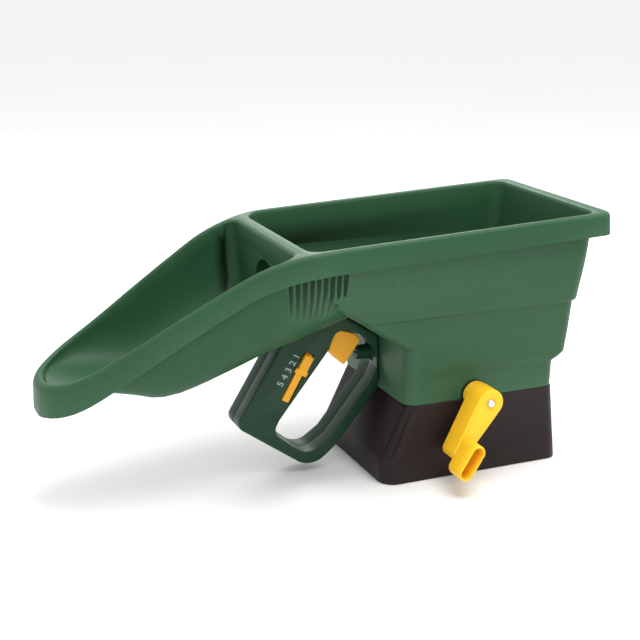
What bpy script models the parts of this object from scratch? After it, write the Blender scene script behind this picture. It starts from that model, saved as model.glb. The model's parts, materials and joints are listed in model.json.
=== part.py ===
"""Hand-held crank spreader: scoop hopper, loop handle with trigger, geared spinner base.

Frame: origin at the centre of the base's underside, on the spinner axis. +X runs forward,
away from the scoop; the crank is on the -Y side; +Z is up. Lengths below are millimetres.
"""
import math

import bmesh
import bpy

MM = 0.001

# Driving dimensions
GAP = 0.4                      # between neighbouring pieces
WALL = 2.4                     # hopper and housing wall
RIM_RIGHT = 117.5              # outer face of the rim at the forward end
POCKET_RIGHT = 104.0           # forward end of the hopper's mouth
RIM_HALF_Y = 88.0
RIM_CORNER = 10.0
RIM_Z = 223.7                  # top of the rim at its forward end
RIM_TILT = math.tan(math.radians(2.3))
LEDGE = 8.0                    # flat top of the rim
SCOOP_LEDGE = 5.2              # the same along the scoop's sides
LID_THICK = 2.6
DIVIDER_LEFT = -164.3
DIVIDER_RIGHT = -152.5
TIP_CENTRE = -308.0            # centre of the scoop's rounded tip
TIP_LENGTH = 50.0
TIP_HALF_Y = 51.5
SLOPE = 0.684                  # rise of the hopper's sloping floor per mm towards -X
SLOPE_FOOT = (-64.5, 117.0)    # where the outer slope leaves the neck
FLOOR_Z = 98.0                 # top of the hopper floor
FLOOR_UNDER = 95.6
NECK = (-63.0, 80.8, 66.0)     # neck of the hopper: rear x, front x, half y
SEAM_Z = 67.6                  # top of the base housing
BASE = (-84.0, 87.0, 69.0)     # base housing at the ground
RAMP_FOOT_Z = 22.0
DECK_Z = 31.0
HANDLE_HALF = 15.5
HANDLE_WALL = 2.6
AXLE_Z = 72.4                  # height of the crank axis
PINION_TEETH = 10
GEAR_TEETH = 30
MODULE = 1.36
CRANK_END = (-27.0, 30.6)      # x, z of the crank arm's outer end and the knob
KNOB_FRONT = -117.0
ARM_FRONT = -96.5              # outer face of the crank arm
ARM_BACK = -75.0
SPINNER_R = 54.0
TRIGGER_PIVOT = (-97.0, 130.5)
ROD_Z = 98.5
PORT = (27.0, 35.0, 9.5, 35.5)  # outlet in the hopper floor: x0, x1, y0, y1
SLOT_TOP = (-131.0, 106.0)     # setting slot's centre line, x and z
SLOT_END = (-152.7, 68.0)
BASE_SCREWS = [(-74.5, -59.7), (-74.5, 59.7), (78.8, -60.8), (78.8, 60.8)]

MATERIALS = {
    "hopper_green": ((0.050, 0.125, 0.065), 0.45, 0.0),
    "handle_green": ((0.022, 0.067, 0.036), 0.45, 0.0),
    "base_brown": ((0.024, 0.014, 0.013), 0.5, 0.0),
    "crank_yellow": ((0.93, 0.56, 0.045), 0.4, 0.0),
    "amber": ((0.80, 0.40, 0.06), 0.4, 0.0),
    "gear_white": ((0.72, 0.72, 0.68), 0.45, 0.0),
    "zinc_steel": ((0.62, 0.63, 0.65), 0.3, 1.0),
    "seal_black": ((0.02, 0.02, 0.02), 0.7, 0.0),
}


def clear_scene():
    for obj in list(bpy.data.objects):
        bpy.data.objects.remove(obj)


def make_materials():
    for name, (colour, roughness, metallic) in MATERIALS.items():
        material = bpy.data.materials.new(name)
        material.use_nodes = True
        shader = material.node_tree.nodes["Principled BSDF"]
        shader.inputs["Base Color"].default_value = (*colour, 1.0)
        shader.inputs["Roughness"].default_value = roughness
        shader.inputs["Metallic"].default_value = metallic


# Solids ---------------------------------------------------------------------------------

def solid(name, verts, faces, material=None):
    """A closed mesh object from points in millimetres, with its faces turned outwards."""
    mesh = bpy.data.meshes.new(name)
    mesh.from_pydata([[c * MM for c in v] for v in verts], [], faces)
    bm = bmesh.new()
    bm.from_mesh(mesh)
    bmesh.ops.recalc_face_normals(bm, faces=bm.faces)
    bm.to_mesh(mesh)
    bm.free()
    obj = bpy.data.objects.new(name, mesh)
    bpy.context.collection.objects.link(obj)
    if material:
        mesh.materials.append(bpy.data.materials[material])
    return obj


def loft(name, rings, material=None):
    """Joins closed rings of equal length and caps both ends."""
    count = len(rings[0])
    verts = [p for ring in rings for p in ring]
    faces = [tuple(range(count)), tuple((len(rings) - 1) * count + i for i in range(count))]
    for r in range(len(rings) - 1):
        for i in range(count):
            j = (i + 1) % count
            a, b = r * count, (r + 1) * count
            faces.append((a + i, a + j, b + j, b + i))
    return solid(name, verts, faces, material)


def rounded_box_ring(x0, x1, half_y, radius, z, steps=4):
    """A rounded rectangle at height z. radius may be (rear, front); z may be a function of x."""
    points = []
    rear, front = radius if isinstance(radius, tuple) else (radius, radius)
    corners = [(x1 - front, half_y - front, 0, front), (x0 + rear, half_y - rear, 90, rear),
               (x0 + rear, -half_y + rear, 180, rear), (x1 - front, -half_y + front, 270, front)]
    for cx, cy, start, radius in corners:
        for i in range(steps + 1):
            a = math.radians(start + 90 * i / steps)
            x = cx + radius * math.cos(a)
            points.append((x, cy + radius * math.sin(a), z(x) if callable(z) else z))
    return points


def side_prism(name, outline, y0, y1, material=None):
    """An outline of (x, z) points pushed along Y."""
    return loft(name, [[(x, y, z) for x, z in outline] for y in (y0, y1)], material)


def box(name, x0, x1, y0, y1, z0, z1, material=None):
    return side_prism(name, [(x0, z0), (x1, z0), (x1, z1), (x0, z1)], y0, y1, material)


def rod(name, start, end, radius, material=None, sides=16, end_radius=None):
    """A round bar between two points, along X, Y or Z."""
    axis = max(range(3), key=lambda i: abs(end[i] - start[i]))
    u, v = [i for i in range(3) if i != axis]
    rings = []
    for point, r in ((start, radius), (end, radius if end_radius is None else end_radius)):
        ring = []
        for i in range(sides):
            a = 2 * math.pi * (i + 0.5) / sides
            p = list(point)
            p[u] += r * math.cos(a)
            p[v] += r * math.sin(a)
            ring.append(tuple(p))
        rings.append(ring)
    return loft(name, rings, material)


def turned(name, profile, centre, axis, material=None, sides=24):
    """A turned piece: profile is (distance along the axis, radius), from one end to the other."""
    u, v = [i for i in range(3) if i != axis]
    rings = []
    for along, r in profile:
        ring = []
        for i in range(sides):
            a = 2 * math.pi * i / sides
            p = list(centre)
            p[axis] += along
            p[u] += r * math.cos(a)
            p[v] += r * math.sin(a)
            ring.append(tuple(p))
        rings.append(ring)
    return loft(name, rings, material)


def combine(target, others, operation):
    """Applies exact booleans with the other solids, which are then removed."""
    for other in others:
        modifier = target.modifiers.new("shape", "BOOLEAN")
        modifier.operation = operation
        modifier.solver = "EXACT"
        modifier.object = other
        graph = bpy.context.evaluated_depsgraph_get()
        result = bpy.data.meshes.new_from_object(target.evaluated_get(graph))
        target.modifiers.clear()
        material = target.data.materials[0] if target.data.materials else None
        target.data = result
        result.materials.clear()
        if material:
            result.materials.append(material)
        for polygon in result.polygons:
            polygon.material_index = 0
        bpy.data.objects.remove(other)
    tidy(target)
    return target


def cut(target, *others):
    return combine(target, others, "DIFFERENCE")


def join(target, *others):
    return combine(target, others, "UNION")


def tidy(obj, merge=0.004):
    """Merges points that a boolean left on top of each other."""
    bm = bmesh.new()
    bm.from_mesh(obj.data)
    bmesh.ops.remove_doubles(bm, verts=bm.verts, dist=merge * MM)
    bmesh.ops.dissolve_degenerate(bm, edges=bm.edges, dist=merge * MM)
    bm.to_mesh(obj.data)
    bm.free()


def smooth(obj, angle=35):
    obj.data.shade_smooth()
    obj.data.set_sharp_from_angle(angle=math.radians(angle))
    return obj


# Curves and outlines --------------------------------------------------------------------

def spline(points, x):
    """A smooth curve through (x, z) points with rising x."""
    last = len(points) - 1
    i = max(k for k in range(last) if points[k][0] <= x or k == 0)
    (x0, z0), (x1, z1) = points[i], points[i + 1]

    def slope(k):
        a, b = points[max(k - 1, 0)], points[min(k + 1, last)]
        return (b[1] - a[1]) / (b[0] - a[0])

    t = min(max((x - x0) / (x1 - x0), 0.0), 1.0)
    h = x1 - x0
    return ((2 * t**3 - 3 * t**2 + 1) * z0 + (t**3 - 2 * t**2 + t) * h * slope(i)
            + (3 * t**2 - 2 * t**3) * z1 + (t**3 - t**2) * h * slope(i + 1))


def flat_rim(x):
    return RIM_Z - (RIM_RIGHT - x) * RIM_TILT


RIM_CURVE = [(-358, 108.5), (-335, 118.0), (-300, 137.4), (-260, 162.0), (-225, 183.0),
             (-195, 199.5), (-165, 209.3), (-140, flat_rim(-140))]
BELLY_CURVE = [(-356, 105.5), (-335, 103.0), (-312, 101.0), (-285, 95.0), (-266, 89.8),
               (-245, 92.5), (-205, 107.5), (-180, 117.6), (-100, 144.0)]


def rim_z(x):
    return flat_rim(x) if x > -140 else spline(RIM_CURVE, x)


def belly_z(x):
    return spline(BELLY_CURVE, x)


def slope_z(x):
    """Outer face of the hopper's sloping floor."""
    return SLOPE_FOOT[1] + (SLOPE_FOOT[0] - x) * SLOPE


def rim_half(x):
    if x > -110:
        return RIM_HALF_Y
    return min(RIM_HALF_Y, 86.0 - 0.2207 * (-155 - x))


def plan_stations(inset):
    """(x, half width) along the rim's plan outline, moved in by inset."""
    stations = []
    for angle in (84, 72, 60, 46, 31, 16):
        a = math.radians(angle)
        stations.append((TIP_CENTRE - (TIP_LENGTH - inset) * math.sin(a),
                         (TIP_HALF_Y - inset) * math.cos(a)))
    for x in (-300, -280, -260, -240, -220, -200, -185, -170, -155, -143, -110, 40):
        stations.append((x, rim_half(x) - inset))
    radius = RIM_CORNER - inset * 0.5
    for angle in (0, 22, 45, 68, 90):
        a = math.radians(angle)
        stations.append((RIM_RIGHT - inset - radius + radius * math.sin(a),
                         RIM_HALF_Y - inset - radius + radius * math.cos(a)))
    return stations


def scoop_ledge(x):
    """The rim's flat top narrows along the scoop's sides."""
    if x < -290:
        return LEDGE - (LEDGE - SCOOP_LEDGE) * min(max((x + 335) / 45, 0), 1)
    return SCOOP_LEDGE + (LEDGE - SCOOP_LEDGE) * min(max((x + 205) / 50, 0), 1)


def trough_half(x):
    """Half width of the scoop's outer wall just under the rim."""
    overhang = scoop_ledge(x) - WALL
    if x < TIP_CENTRE:
        reach = (TIP_CENTRE - x) / (TIP_LENGTH - LEDGE + WALL)
        return (TIP_HALF_Y - overhang) * math.sqrt(max(1 - reach**2, 0.0))
    return min(rim_half(x), 86.6) - overhang


def trough_section(x, inset, top, steps=7):
    """A rounded trough across the scoop: flat-sided at the top, full at the bottom."""
    half = max(trough_half(x) - inset, 1.0)
    bottom = belly_z(x) + inset
    depth = max(rim_z(x) - bottom, 2.0)
    right = []
    for i in range(steps + 1):
        a = math.pi / 2 * i / steps
        right.append((half * math.cos(a) ** (2 / 3), rim_z(x) - depth * math.sin(a) ** (2 / 3)))
    right[-1] = (0.0, bottom)
    if top < rim_z(x):
        right[0] = (half, top)
    else:
        right.insert(0, (half, top))
    return [(x, y, z) for y, z in right] + [(x, -y, z) for y, z in reversed(right[:-1])]


def offset(outline, distance):
    """Moves a closed outline inwards by distance, or outwards if it is negative."""
    area = sum(a[0] * b[1] - b[0] * a[1] for a, b in zip(outline, outline[1:] + outline[:1]))
    side = 1 if area > 0 else -1
    moved = []
    for i, point in enumerate(outline):
        before, after = outline[i - 1], outline[(i + 1) % len(outline)]
        normals = []
        for a, b in ((before, point), (point, after)):
            dx, dz = b[0] - a[0], b[1] - a[1]
            length = math.hypot(dx, dz)
            normals.append((-dz / length * side, dx / length * side))
        nx, nz = normals[0][0] + normals[1][0], normals[0][1] + normals[1][1]
        scale = distance / max((nx * nx + nz * nz) / 2, 0.35)
        moved.append((point[0] + nx * scale, point[1] + nz * scale))
    return moved


def arc_corner(outline, radius_by_index, steps=5):
    """Rounds the chosen corners of an outline with arcs of the given radii."""
    rounded = []
    for i, point in enumerate(outline):
        radius = radius_by_index.get(i, 0)
        if not radius:
            rounded.append(point)
            continue
        rays = []
        for other in (outline[i - 1], outline[(i + 1) % len(outline)]):
            dx, dz = other[0] - point[0], other[1] - point[1]
            length = math.hypot(dx, dz)
            rays.append((dx / length, dz / length))
        (ax, az), (bx, bz) = rays
        half = math.acos(max(-1, min(1, ax * bx + az * bz))) / 2
        reach = radius / math.tan(half)
        mx, mz = ax + bx, az + bz
        m = math.hypot(mx, mz)
        centre = (point[0] + mx / m * radius / math.sin(half),
                  point[1] + mz / m * radius / math.sin(half))
        first = math.atan2(point[1] + az * reach - centre[1], point[0] + ax * reach - centre[0])
        last = math.atan2(point[1] + bz * reach - centre[1], point[0] + bx * reach - centre[0])
        turn = (last - first + math.pi) % (2 * math.pi) - math.pi
        for s in range(steps + 1):
            a = first + turn * s / steps
            rounded.append((centre[0] + radius * math.cos(a), centre[1] + radius * math.sin(a)))
    return rounded


# Hopper ---------------------------------------------------------------------------------

def rim_band():
    """The flat ledge with its turned-down skirt, as a lid the openings are cut from."""
    def block(name, inset, top_drop, deeper):
        rings = []
        for x, half in plan_stations(inset):
            top = rim_z(x) - top_drop
            skirt = 19.0 + 5.0 * min(max((-200 - x) / 150, 0), 1)
            low = rim_z(x) - skirt - deeper
            rings.append([(x, half, top), (x, half + 0.9, low), (x, -half - 0.9, low),
                          (x, -half, top)])
        return loft(name, rings)
    return cut(block("hopper", 0.0, 0.0, 0.0), block("under_rim", WALL, LID_THICK, 8.0))


def hopper_body():
    """Outer shape from the neck up to the rim, with its stepped side."""
    rear = SLOPE_FOOT[0]
    levels = [
        (68.0, NECK[0], NECK[1], NECK[2], (12, 10)), (91.0, rear + 0.5, 81.0, 67.0, (12, 10)),
        (94.0, rear + 0.4, 87.0, 67.6, (12, 10)), (98.0, rear + 0.2, 92.0, 68.4, (12, 10)),
        (SLOPE_FOOT[1], rear, 93.0, 71.0, (12, 10)), (146.0, -106.9, 94.2, 74.0, (12, 10)),
        (147.4, -108.9, 96.6, 78.2, 13), (174.0, -147.8, 101.2, 79.8, 13),
        (182.0, -151.5, 102.4, 80.3, 13)]
    rings = [rounded_box_ring(x0, x1, half, r, z) for z, x0, x1, half, r in levels]
    rings.append(rounded_box_ring(-155.0, POCKET_RIGHT + WALL, RIM_HALF_Y - LEDGE + WALL,
                                  14, lambda x: flat_rim(x) - 1.0))
    return loft("hopper_body", rings)


def hopper_inside():
    """The space for the granules."""
    def rear(z):
        return -34.0 - (z - FLOOR_Z) / SLOPE
    levels = [
        (FLOOR_Z, rear(98), 86.5, 63.5, (9, 8)), (101.0, rear(101), 89.4, 66.4, (10, 8)),
        (117.0, rear(117), 90.5, 68.5, (10, 8)), (149.0, rear(149), 91.7, 71.8, (10, 8)),
        (150.4, rear(150.4), 94.4, 75.9, 11), (172.0, rear(172), 98.3, 77.3, 11),
        (181.0, -149.6, 99.8, 77.8, (13, 11)), (206.0, -151.4, 102.8, 79.2, (15, 11)),
        (235.0, DIVIDER_RIGHT, POCKET_RIGHT + 0.8, RIM_HALF_Y - LEDGE, (16, 11))]
    return loft("hopper_inside", [rounded_box_ring(x0, x1, half, r, z)
                                  for z, x0, x1, half, r in levels])


def scoop_body():
    xs = [-352, -346, -336, -324, -310, -295, -280, -262, -245, -225, -200, -180, -160, -130,
          -102]
    return loft("scoop_body", [trough_section(x, 0.0, rim_z(x) - 1.0) for x in xs])


def scoop_inside():
    """The scooping trough, closed at the back by the leaning divider wall."""
    xs = [-349, -344, -335, -323, -310, -295, -280, -262, -245, -225, -200, -182, -161]
    rings = [trough_section(x, WALL, rim_z(x) + 25.0) for x in xs]
    lean = 3.5
    back = rings[-1]
    low = min(p[2] for p in back)
    high = max(p[2] for p in back)
    rings[-1] = [(DIVIDER_LEFT + lean * (high - p[2]) / (high - low), p[1], p[2]) for p in back]
    return loft("scoop_inside", rings)


def divider_pocket():
    """The open wedge under the divider, between the scoop's back and the sloping floor."""
    def ceiling(x):
        return min(203.0, slope_z(x) - 0.5) if x > -148 else 203.0 - max(x + 156, 0) * 3.8
    rings = []
    for x in (-161.0, -156.0, -150.0, -140.0, -130.0, -120.0, -112.0):
        half = trough_half(x) - 3.0
        depth = rim_z(x) - belly_z(x)
        low = rim_z(x) - depth * (1 - 0.6**3) ** (1 / 3)
        top = ceiling(x)
        side = []
        for i in range(5):
            z = top + (low - top) * i / 4
            side.append((half * (1 - ((rim_z(x) - z) / depth) ** 3) ** (1 / 3), z))
        side.append((side[-1][0], belly_z(x) - 6.0))
        rings.append([(x, y, z) for y, z in side] + [(x, -y, z) for y, z in reversed(side)])
    return loft("divider_pocket", rings)


def make_hopper():
    hopper = rim_band()
    join(hopper, hopper_body(), scoop_body())
    cut(hopper, divider_pocket())
    # a plate across the pocket carries the handle's lug
    plate = [(-164, belly_z(-164)), (-140, belly_z(-140)), (-103.5, belly_z(-103.5)),
             (-103.5, belly_z(-103.5) + 3), (-140, belly_z(-140) + 3), (-164, belly_z(-164) + 3)]
    join(hopper, side_prism("mount_plate", plate, -20, 20))
    # a cup in the divider carries the fill port; it opens above the sloping floor
    join(hopper, rod("sleeve", (-162, 0, 162), (-135.4, 0, 162), 29.4, sides=28))
    cut(hopper, hopper_inside(), scoop_inside(),
        rod("port", (-175, 0, 162), (-138, 0, 162), 27.0, sides=28))
    # gear space under the floor
    space = rounded_box_ring(NECK[0] + WALL, NECK[1] - WALL, NECK[2] - WALL, (9.6, 7.6), 60)
    space_top = [(x, y, FLOOR_UNDER) for x, y, z in space]
    wedge_top = SLOPE_FOOT[1] - 2.6
    wedge_end = NECK[0] + WALL + (wedge_top - FLOOR_UNDER) / SLOPE
    wedge = side_prism("wedge", [(NECK[0] + WALL, 90), (wedge_end, 90), (wedge_end, FLOOR_UNDER),
                                 (NECK[0] + WALL, wedge_top)], -60, 60)
    cut(hopper, loft("space", [space, space_top]), wedge)
    # lug for the handle, bosses for the retainer's screws
    lug = side_prism("lug", [(-141, belly_z(-141) + 1.5), (-141, 119), (-129, 119),
                             (-129, belly_z(-129) + 1.5)], -2.2, 2.2)
    bosses = [rod("boss", (x, 42.5, 91.4), (x, 42.5, FLOOR_Z - 0.6), 3.6, sides=12)
              for x in (19, 43)]
    join(hopper, lug, *bosses)
    holes = [rod("hole", (x, 42.5, 80), (x, 42.5, 96.6), 1.7, sides=10) for x in (19, 43)]
    tab_notch = [(-11.6, 60)] + [(11.6 * math.cos(math.radians(a)) * -1,
                                  AXLE_Z + 11.6 * math.sin(math.radians(a)))
                                 for a in range(0, 181, 20)] + [(11.6, 60)]
    cut(hopper, rod("shaft_hole", (0, 0, 80), (0, 0, 110), 5.2, sides=20),
        rod("lug_hole", (-135, -8, 124.5), (-135, 8, 124.5), 1.8, sides=12),
        box("outlet", PORT[0], PORT[1], PORT[2], PORT[3], 85, 105),
        rod("rod_hole", (-75, 0, ROD_Z), (-57, 0, ROD_Z), 2.3, sides=12),
        side_prism("tab_notch", tab_notch, -80, -58), *holes)
    hopper.data.materials.clear()
    hopper.data.materials.append(bpy.data.materials["hopper_green"])
    return smooth(hopper)


# Base -----------------------------------------------------------------------------------

def base_ring(z, inset, radius, steps=4):
    """Plan of the base housing at height z, moved in by inset."""
    share = z / SEAM_Z
    climb = max(z - RAMP_FOOT_Z, 0) / (SEAM_Z - RAMP_FOOT_Z)
    rear = BASE[0] + (NECK[0] + 1.0 - BASE[0]) * climb
    front = BASE[1] + (NECK[1] + 0.7 - BASE[1]) * share
    half = BASE[2] + (NECK[2] + 0.4 - BASE[2]) * share
    return rounded_box_ring(rear + inset, front - inset, half - inset, radius, z, steps)


def make_base_housing():
    lip = GAP + WALL
    rings = [base_ring(0, 0, (14, 10)), base_ring(RAMP_FOOT_Z, 0, (14, 10)),
             base_ring(SEAM_Z, 0, (12, 10))]
    lip_ring = rounded_box_ring(NECK[0] + lip, NECK[1] - lip, NECK[2] - lip, (9.2, 7.2), SEAM_Z)
    rings += [lip_ring, [(x, y, 73.5) for x, y, z in lip_ring]]
    housing = loft("base_housing", rings, "base_brown")
    inner = [base_ring(-5, WALL, (11.6, 7.6)), base_ring(RAMP_FOOT_Z, WALL, (11.6, 7.6)),
             base_ring(SEAM_Z - 3, WALL + 0.6, (9.6, 7.4))]
    inner_lip = rounded_box_ring(NECK[0] + lip + 2, NECK[1] - lip - 2, NECK[2] - lip - 2,
                                 (7.2, 5.2), SEAM_Z)
    inner += [inner_lip, [(x, y, 80) for x, y, z in inner_lip]]
    cut(housing, loft("inside", inner))
    # bearing tab for the crank, standing up into the neck's notch
    tab = [(-11, 56)] + [(-11 * math.cos(math.radians(a)), AXLE_Z + 11 * math.sin(math.radians(a)))
                         for a in range(0, 181, 20)] + [(11, 56)]
    posts = [rod("post", (x, y, 3.1), (x, y, 20), 5.6, sides=12) for x, y in BASE_SCREWS]
    join(housing, side_prism("tab", tab, -66.3, -61.2), *posts)
    bores = [rod("bore", (x, y, 0), (x, y, 15), 1.8, sides=10) for x, y in BASE_SCREWS]
    cut(housing, rod("bush_bore", (0, -75, AXLE_Z), (0, -55, AXLE_Z), 6.6, sides=20),
        box("throw_opening", 70, 95, -46, 46, 5, 26), *bores)
    return smooth(housing)


def make_base_floor():
    floor = loft("base_floor", [base_ring(z, WALL + GAP, (11.2, 7.2)) for z in (0, 2.7)], "base_brown")
    join(floor, rod("foot_bearing", (0, 0, 2), (0, 0, 8), 7.0, sides=20))
    holes = []
    for x, y in BASE_SCREWS:
        holes.append(rod("hole", (x, y, -1), (x, y, 5), 1.8, sides=10))
        holes.append(rod("head", (x, y, -1), (x, y, 1.7), 3.4, sides=12))
    cut(floor, rod("blind", (0, 0, 3.6), (0, 0, 12), 3.3, sides=20), *holes)
    return smooth(floor)


def make_gear_frame():
    """Deck over the spinner, with the pedestal that carries the crank shaft's inner end."""
    rings = [rounded_box_ring(-74.6, 81.0, 64.6, (10.5, 7.4), z)
             for z in (DECK_Z, DECK_Z + 2.5)]
    frame = loft("gear_frame", rings, "base_brown")
    arch = [(-10, DECK_Z + 1)] + [(-8.5 * math.cos(math.radians(a)),
                                   AXLE_Z + 8.5 * math.sin(math.radians(a)))
                                  for a in range(0, 181, 20)] + [(10, DECK_Z + 1)]
    foot = [(-2, DECK_Z + 1), (2, DECK_Z + 1), (2, 58), (-2, 58)]
    join(frame, side_prism("pedestal", arch, -32, -27.5), side_prism("web", foot, -44, -31))
    cut(frame, rod("shaft_bore", (0, -50, AXLE_Z), (0, -20, AXLE_Z), 4.3, sides=20),
        rod("spinner_bore", (0, 0, 25), (0, 0, 40), 5.0, sides=16),
        box("chute_hole", 21.5, 42.5, 8.0, 39.0, 25, 40))
    return smooth(frame)


def make_chute():
    chute = box("drop_chute", 22, 42, 8.5, 38.5, 28, 87.3, "base_brown")
    return cut(chute, box("bore", 23.6, 40.4, 10.1, 36.9, 20, 95))


# Spinner --------------------------------------------------------------------------------

def tooth_ring(teeth, root, tip, half_root, half_tip, z0, z1, name, material):
    """A spur gear about Z from straight-flanked teeth."""
    ring = []
    pitch = 2 * math.pi / teeth
    for i in range(teeth):
        centre = i * pitch
        for r, half in ((root, -half_root), (tip, -half_tip), (tip, half_tip), (root, half_root)):
            a = centre + math.atan2(half, r)
            ring.append((r * math.cos(a), r * math.sin(a)))
    return loft(name, [[(x, y, z) for x, y in ring] for z in (z0, z1)], material)


def make_spinner():
    shaft = rod("spinner_shaft", (0, 0, 4), (0, 0, 108), 3.0, "zinc_steel", sides=16)
    smooth(shaft)
    disc = turned("spinner_disc", [(8.7, 8), (9.2, SPINNER_R), (11.4, SPINNER_R), (12, 9),
                                   (24, 8)], (0, 0, 0), 2, "gear_white", 40)
    fins = []
    for i in range(6):
        a = i * math.pi / 3
        along, across = (math.cos(a), math.sin(a)), (-math.sin(a), math.cos(a))
        def corner(r, s):
            return (along[0] * r + across[0] * s, along[1] * r + across[1] * s)
        plan = [corner(6, -1), corner(SPINNER_R - 1, -1), corner(SPINNER_R - 1, 1), corner(6, 1)]
        low = [(x, y, 10.5) for x, y in plan]
        high = [(x, y, 21.0) for x, y in plan]
        fins.append(loft("fin", [low, high]))
    join(disc, *fins)
    cut(disc, rod("bore", (0, 0, 5), (0, 0, 30), 3.3, sides=16))
    smooth(disc)
    pitch_r = MODULE * PINION_TEETH / 2
    pinion = tooth_ring(PINION_TEETH, pitch_r - 1.4, pitch_r + 1.0, 1.0, 0.42,
                        AXLE_Z - 25, AXLE_Z - 17, "pinion", "gear_white")
    pinion.rotation_euler.z = math.radians(-90 + 180 / PINION_TEETH)
    apply_turn(pinion)
    join(pinion, rod("collar", (0, 0, AXLE_Z - 28.5), (0, 0, AXLE_Z - 24.2), 6.4, sides=16))
    cut(pinion, rod("bore", (0, 0, 35), (0, 0, 60), 3.3, sides=16))
    agitator = turned("agitator", [(99.6, 6.5), (106, 5.5), (109.4, 3.5)], (0, 0, 0), 2,
                      "gear_white", 20)
    blades = [box("blade", -19, 19, -1.2, 1.2, 100, 104.5), box("blade", -1.2, 1.2, -15, 15, 100, 103)]
    join(agitator, *blades)
    cut(agitator, rod("bore", (0, 0, 95), (0, 0, 108.3), 3.3, sides=16))
    smooth(agitator)
    washer = turned("spinner_washer", [(0, 6.0), (1.0, 6.0)], (0, 0, AXLE_Z - 16.6), 2, "zinc_steel", 16)
    cut(washer, rod("bore", (0, 0, 50), (0, 0, 60), 3.3, sides=16))
    seal = turned("shaft_seal", [(93.9, 4.8), (98.2, 4.8), (98.4, 6.4), (99.2, 6.0)], (0, 0, 0), 2,
                  "seal_black", 20)
    cut(seal, rod("bore", (0, 0, 85), (0, 0, 105), 3.3, sides=16))
    smooth(seal)


def apply_turn(obj):
    """Puts a turned object's rotation into its mesh."""
    bpy.context.view_layer.update()
    obj.data.transform(obj.matrix_world)
    obj.rotation_euler = (0, 0, 0)
    bpy.context.view_layer.update()


# Crank ----------------------------------------------------------------------------------

def make_drive_gear():
    """A face gear: teeth stand out of the disc towards the pinion."""
    mid = MODULE * GEAR_TEETH / 2
    pinion_r = MODULE * PINION_TEETH / 2
    root_y, tip_y = -(pinion_r + 1.4), -(pinion_r - 1.0)
    gear = turned("drive_gear", [(-26.9, 7.5), (-12, 7.5), (-11.6, mid + 2.2), (root_y, mid + 2.2)],
                  (0, 0, AXLE_Z), 1, "gear_white", 36)
    teeth = []
    for i in range(GEAR_TEETH):
        a = 2 * math.pi * i / GEAR_TEETH
        out, across = (math.sin(a), -math.cos(a)), (math.cos(a), math.sin(a))
        def point(r, s, y):
            return (out[0] * r + across[0] * s, y, AXLE_Z + out[1] * r + across[1] * s)
        rings = []
        for y, half in ((root_y - 0.8, 1.0), (tip_y, 0.45)):
            rings.append([point(mid - 2, -half, y), point(mid + 2, -half, y),
                          point(mid + 2, half, y), point(mid - 2, half, y)])
        teeth.append(loft("tooth", rings))
    join(gear, *teeth)
    cut(gear, rod("bore", (0, -40, AXLE_Z), (0, 0, AXLE_Z), 4.3, sides=20))
    return smooth(gear, 25)


def crank_outline():
    """Side outline of the crank arm: a round hub running into a narrower rounded end."""
    hub_r, end_r = 12.0, 6.4
    dx, dz = CRANK_END[0], CRANK_END[1] - AXLE_Z
    length = math.hypot(dx, dz)
    heading = math.atan2(dz, dx)
    spread = math.acos((hub_r - end_r) / length)
    points = []
    for i in range(13):
        a = heading + spread + (2 * math.pi - 2 * spread) * i / 12
        points.append((hub_r * math.cos(a), AXLE_Z + hub_r * math.sin(a)))
    for i in range(9):
        a = heading - spread + 2 * spread * i / 8
        points.append((CRANK_END[0] + end_r * math.cos(a), CRANK_END[1] + end_r * math.sin(a)))
    return points


def oblong(half_length, half_width, steps=6):
    """The knob's section, long along the crank arm."""
    dx, dz = CRANK_END[0], CRANK_END[1] - AXLE_Z
    heading = math.atan2(dz, dx)
    straight = half_length - half_width
    points = []
    for side in (0, math.pi):
        cx = CRANK_END[0] + straight * math.cos(heading + side)
        cz = CRANK_END[1] + straight * math.sin(heading + side)
        for i in range(steps + 1):
            a = heading + side - math.pi / 2 + math.pi * i / steps
            points.append((cx + half_width * math.cos(a), cz + half_width * math.sin(a)))
    return points


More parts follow.
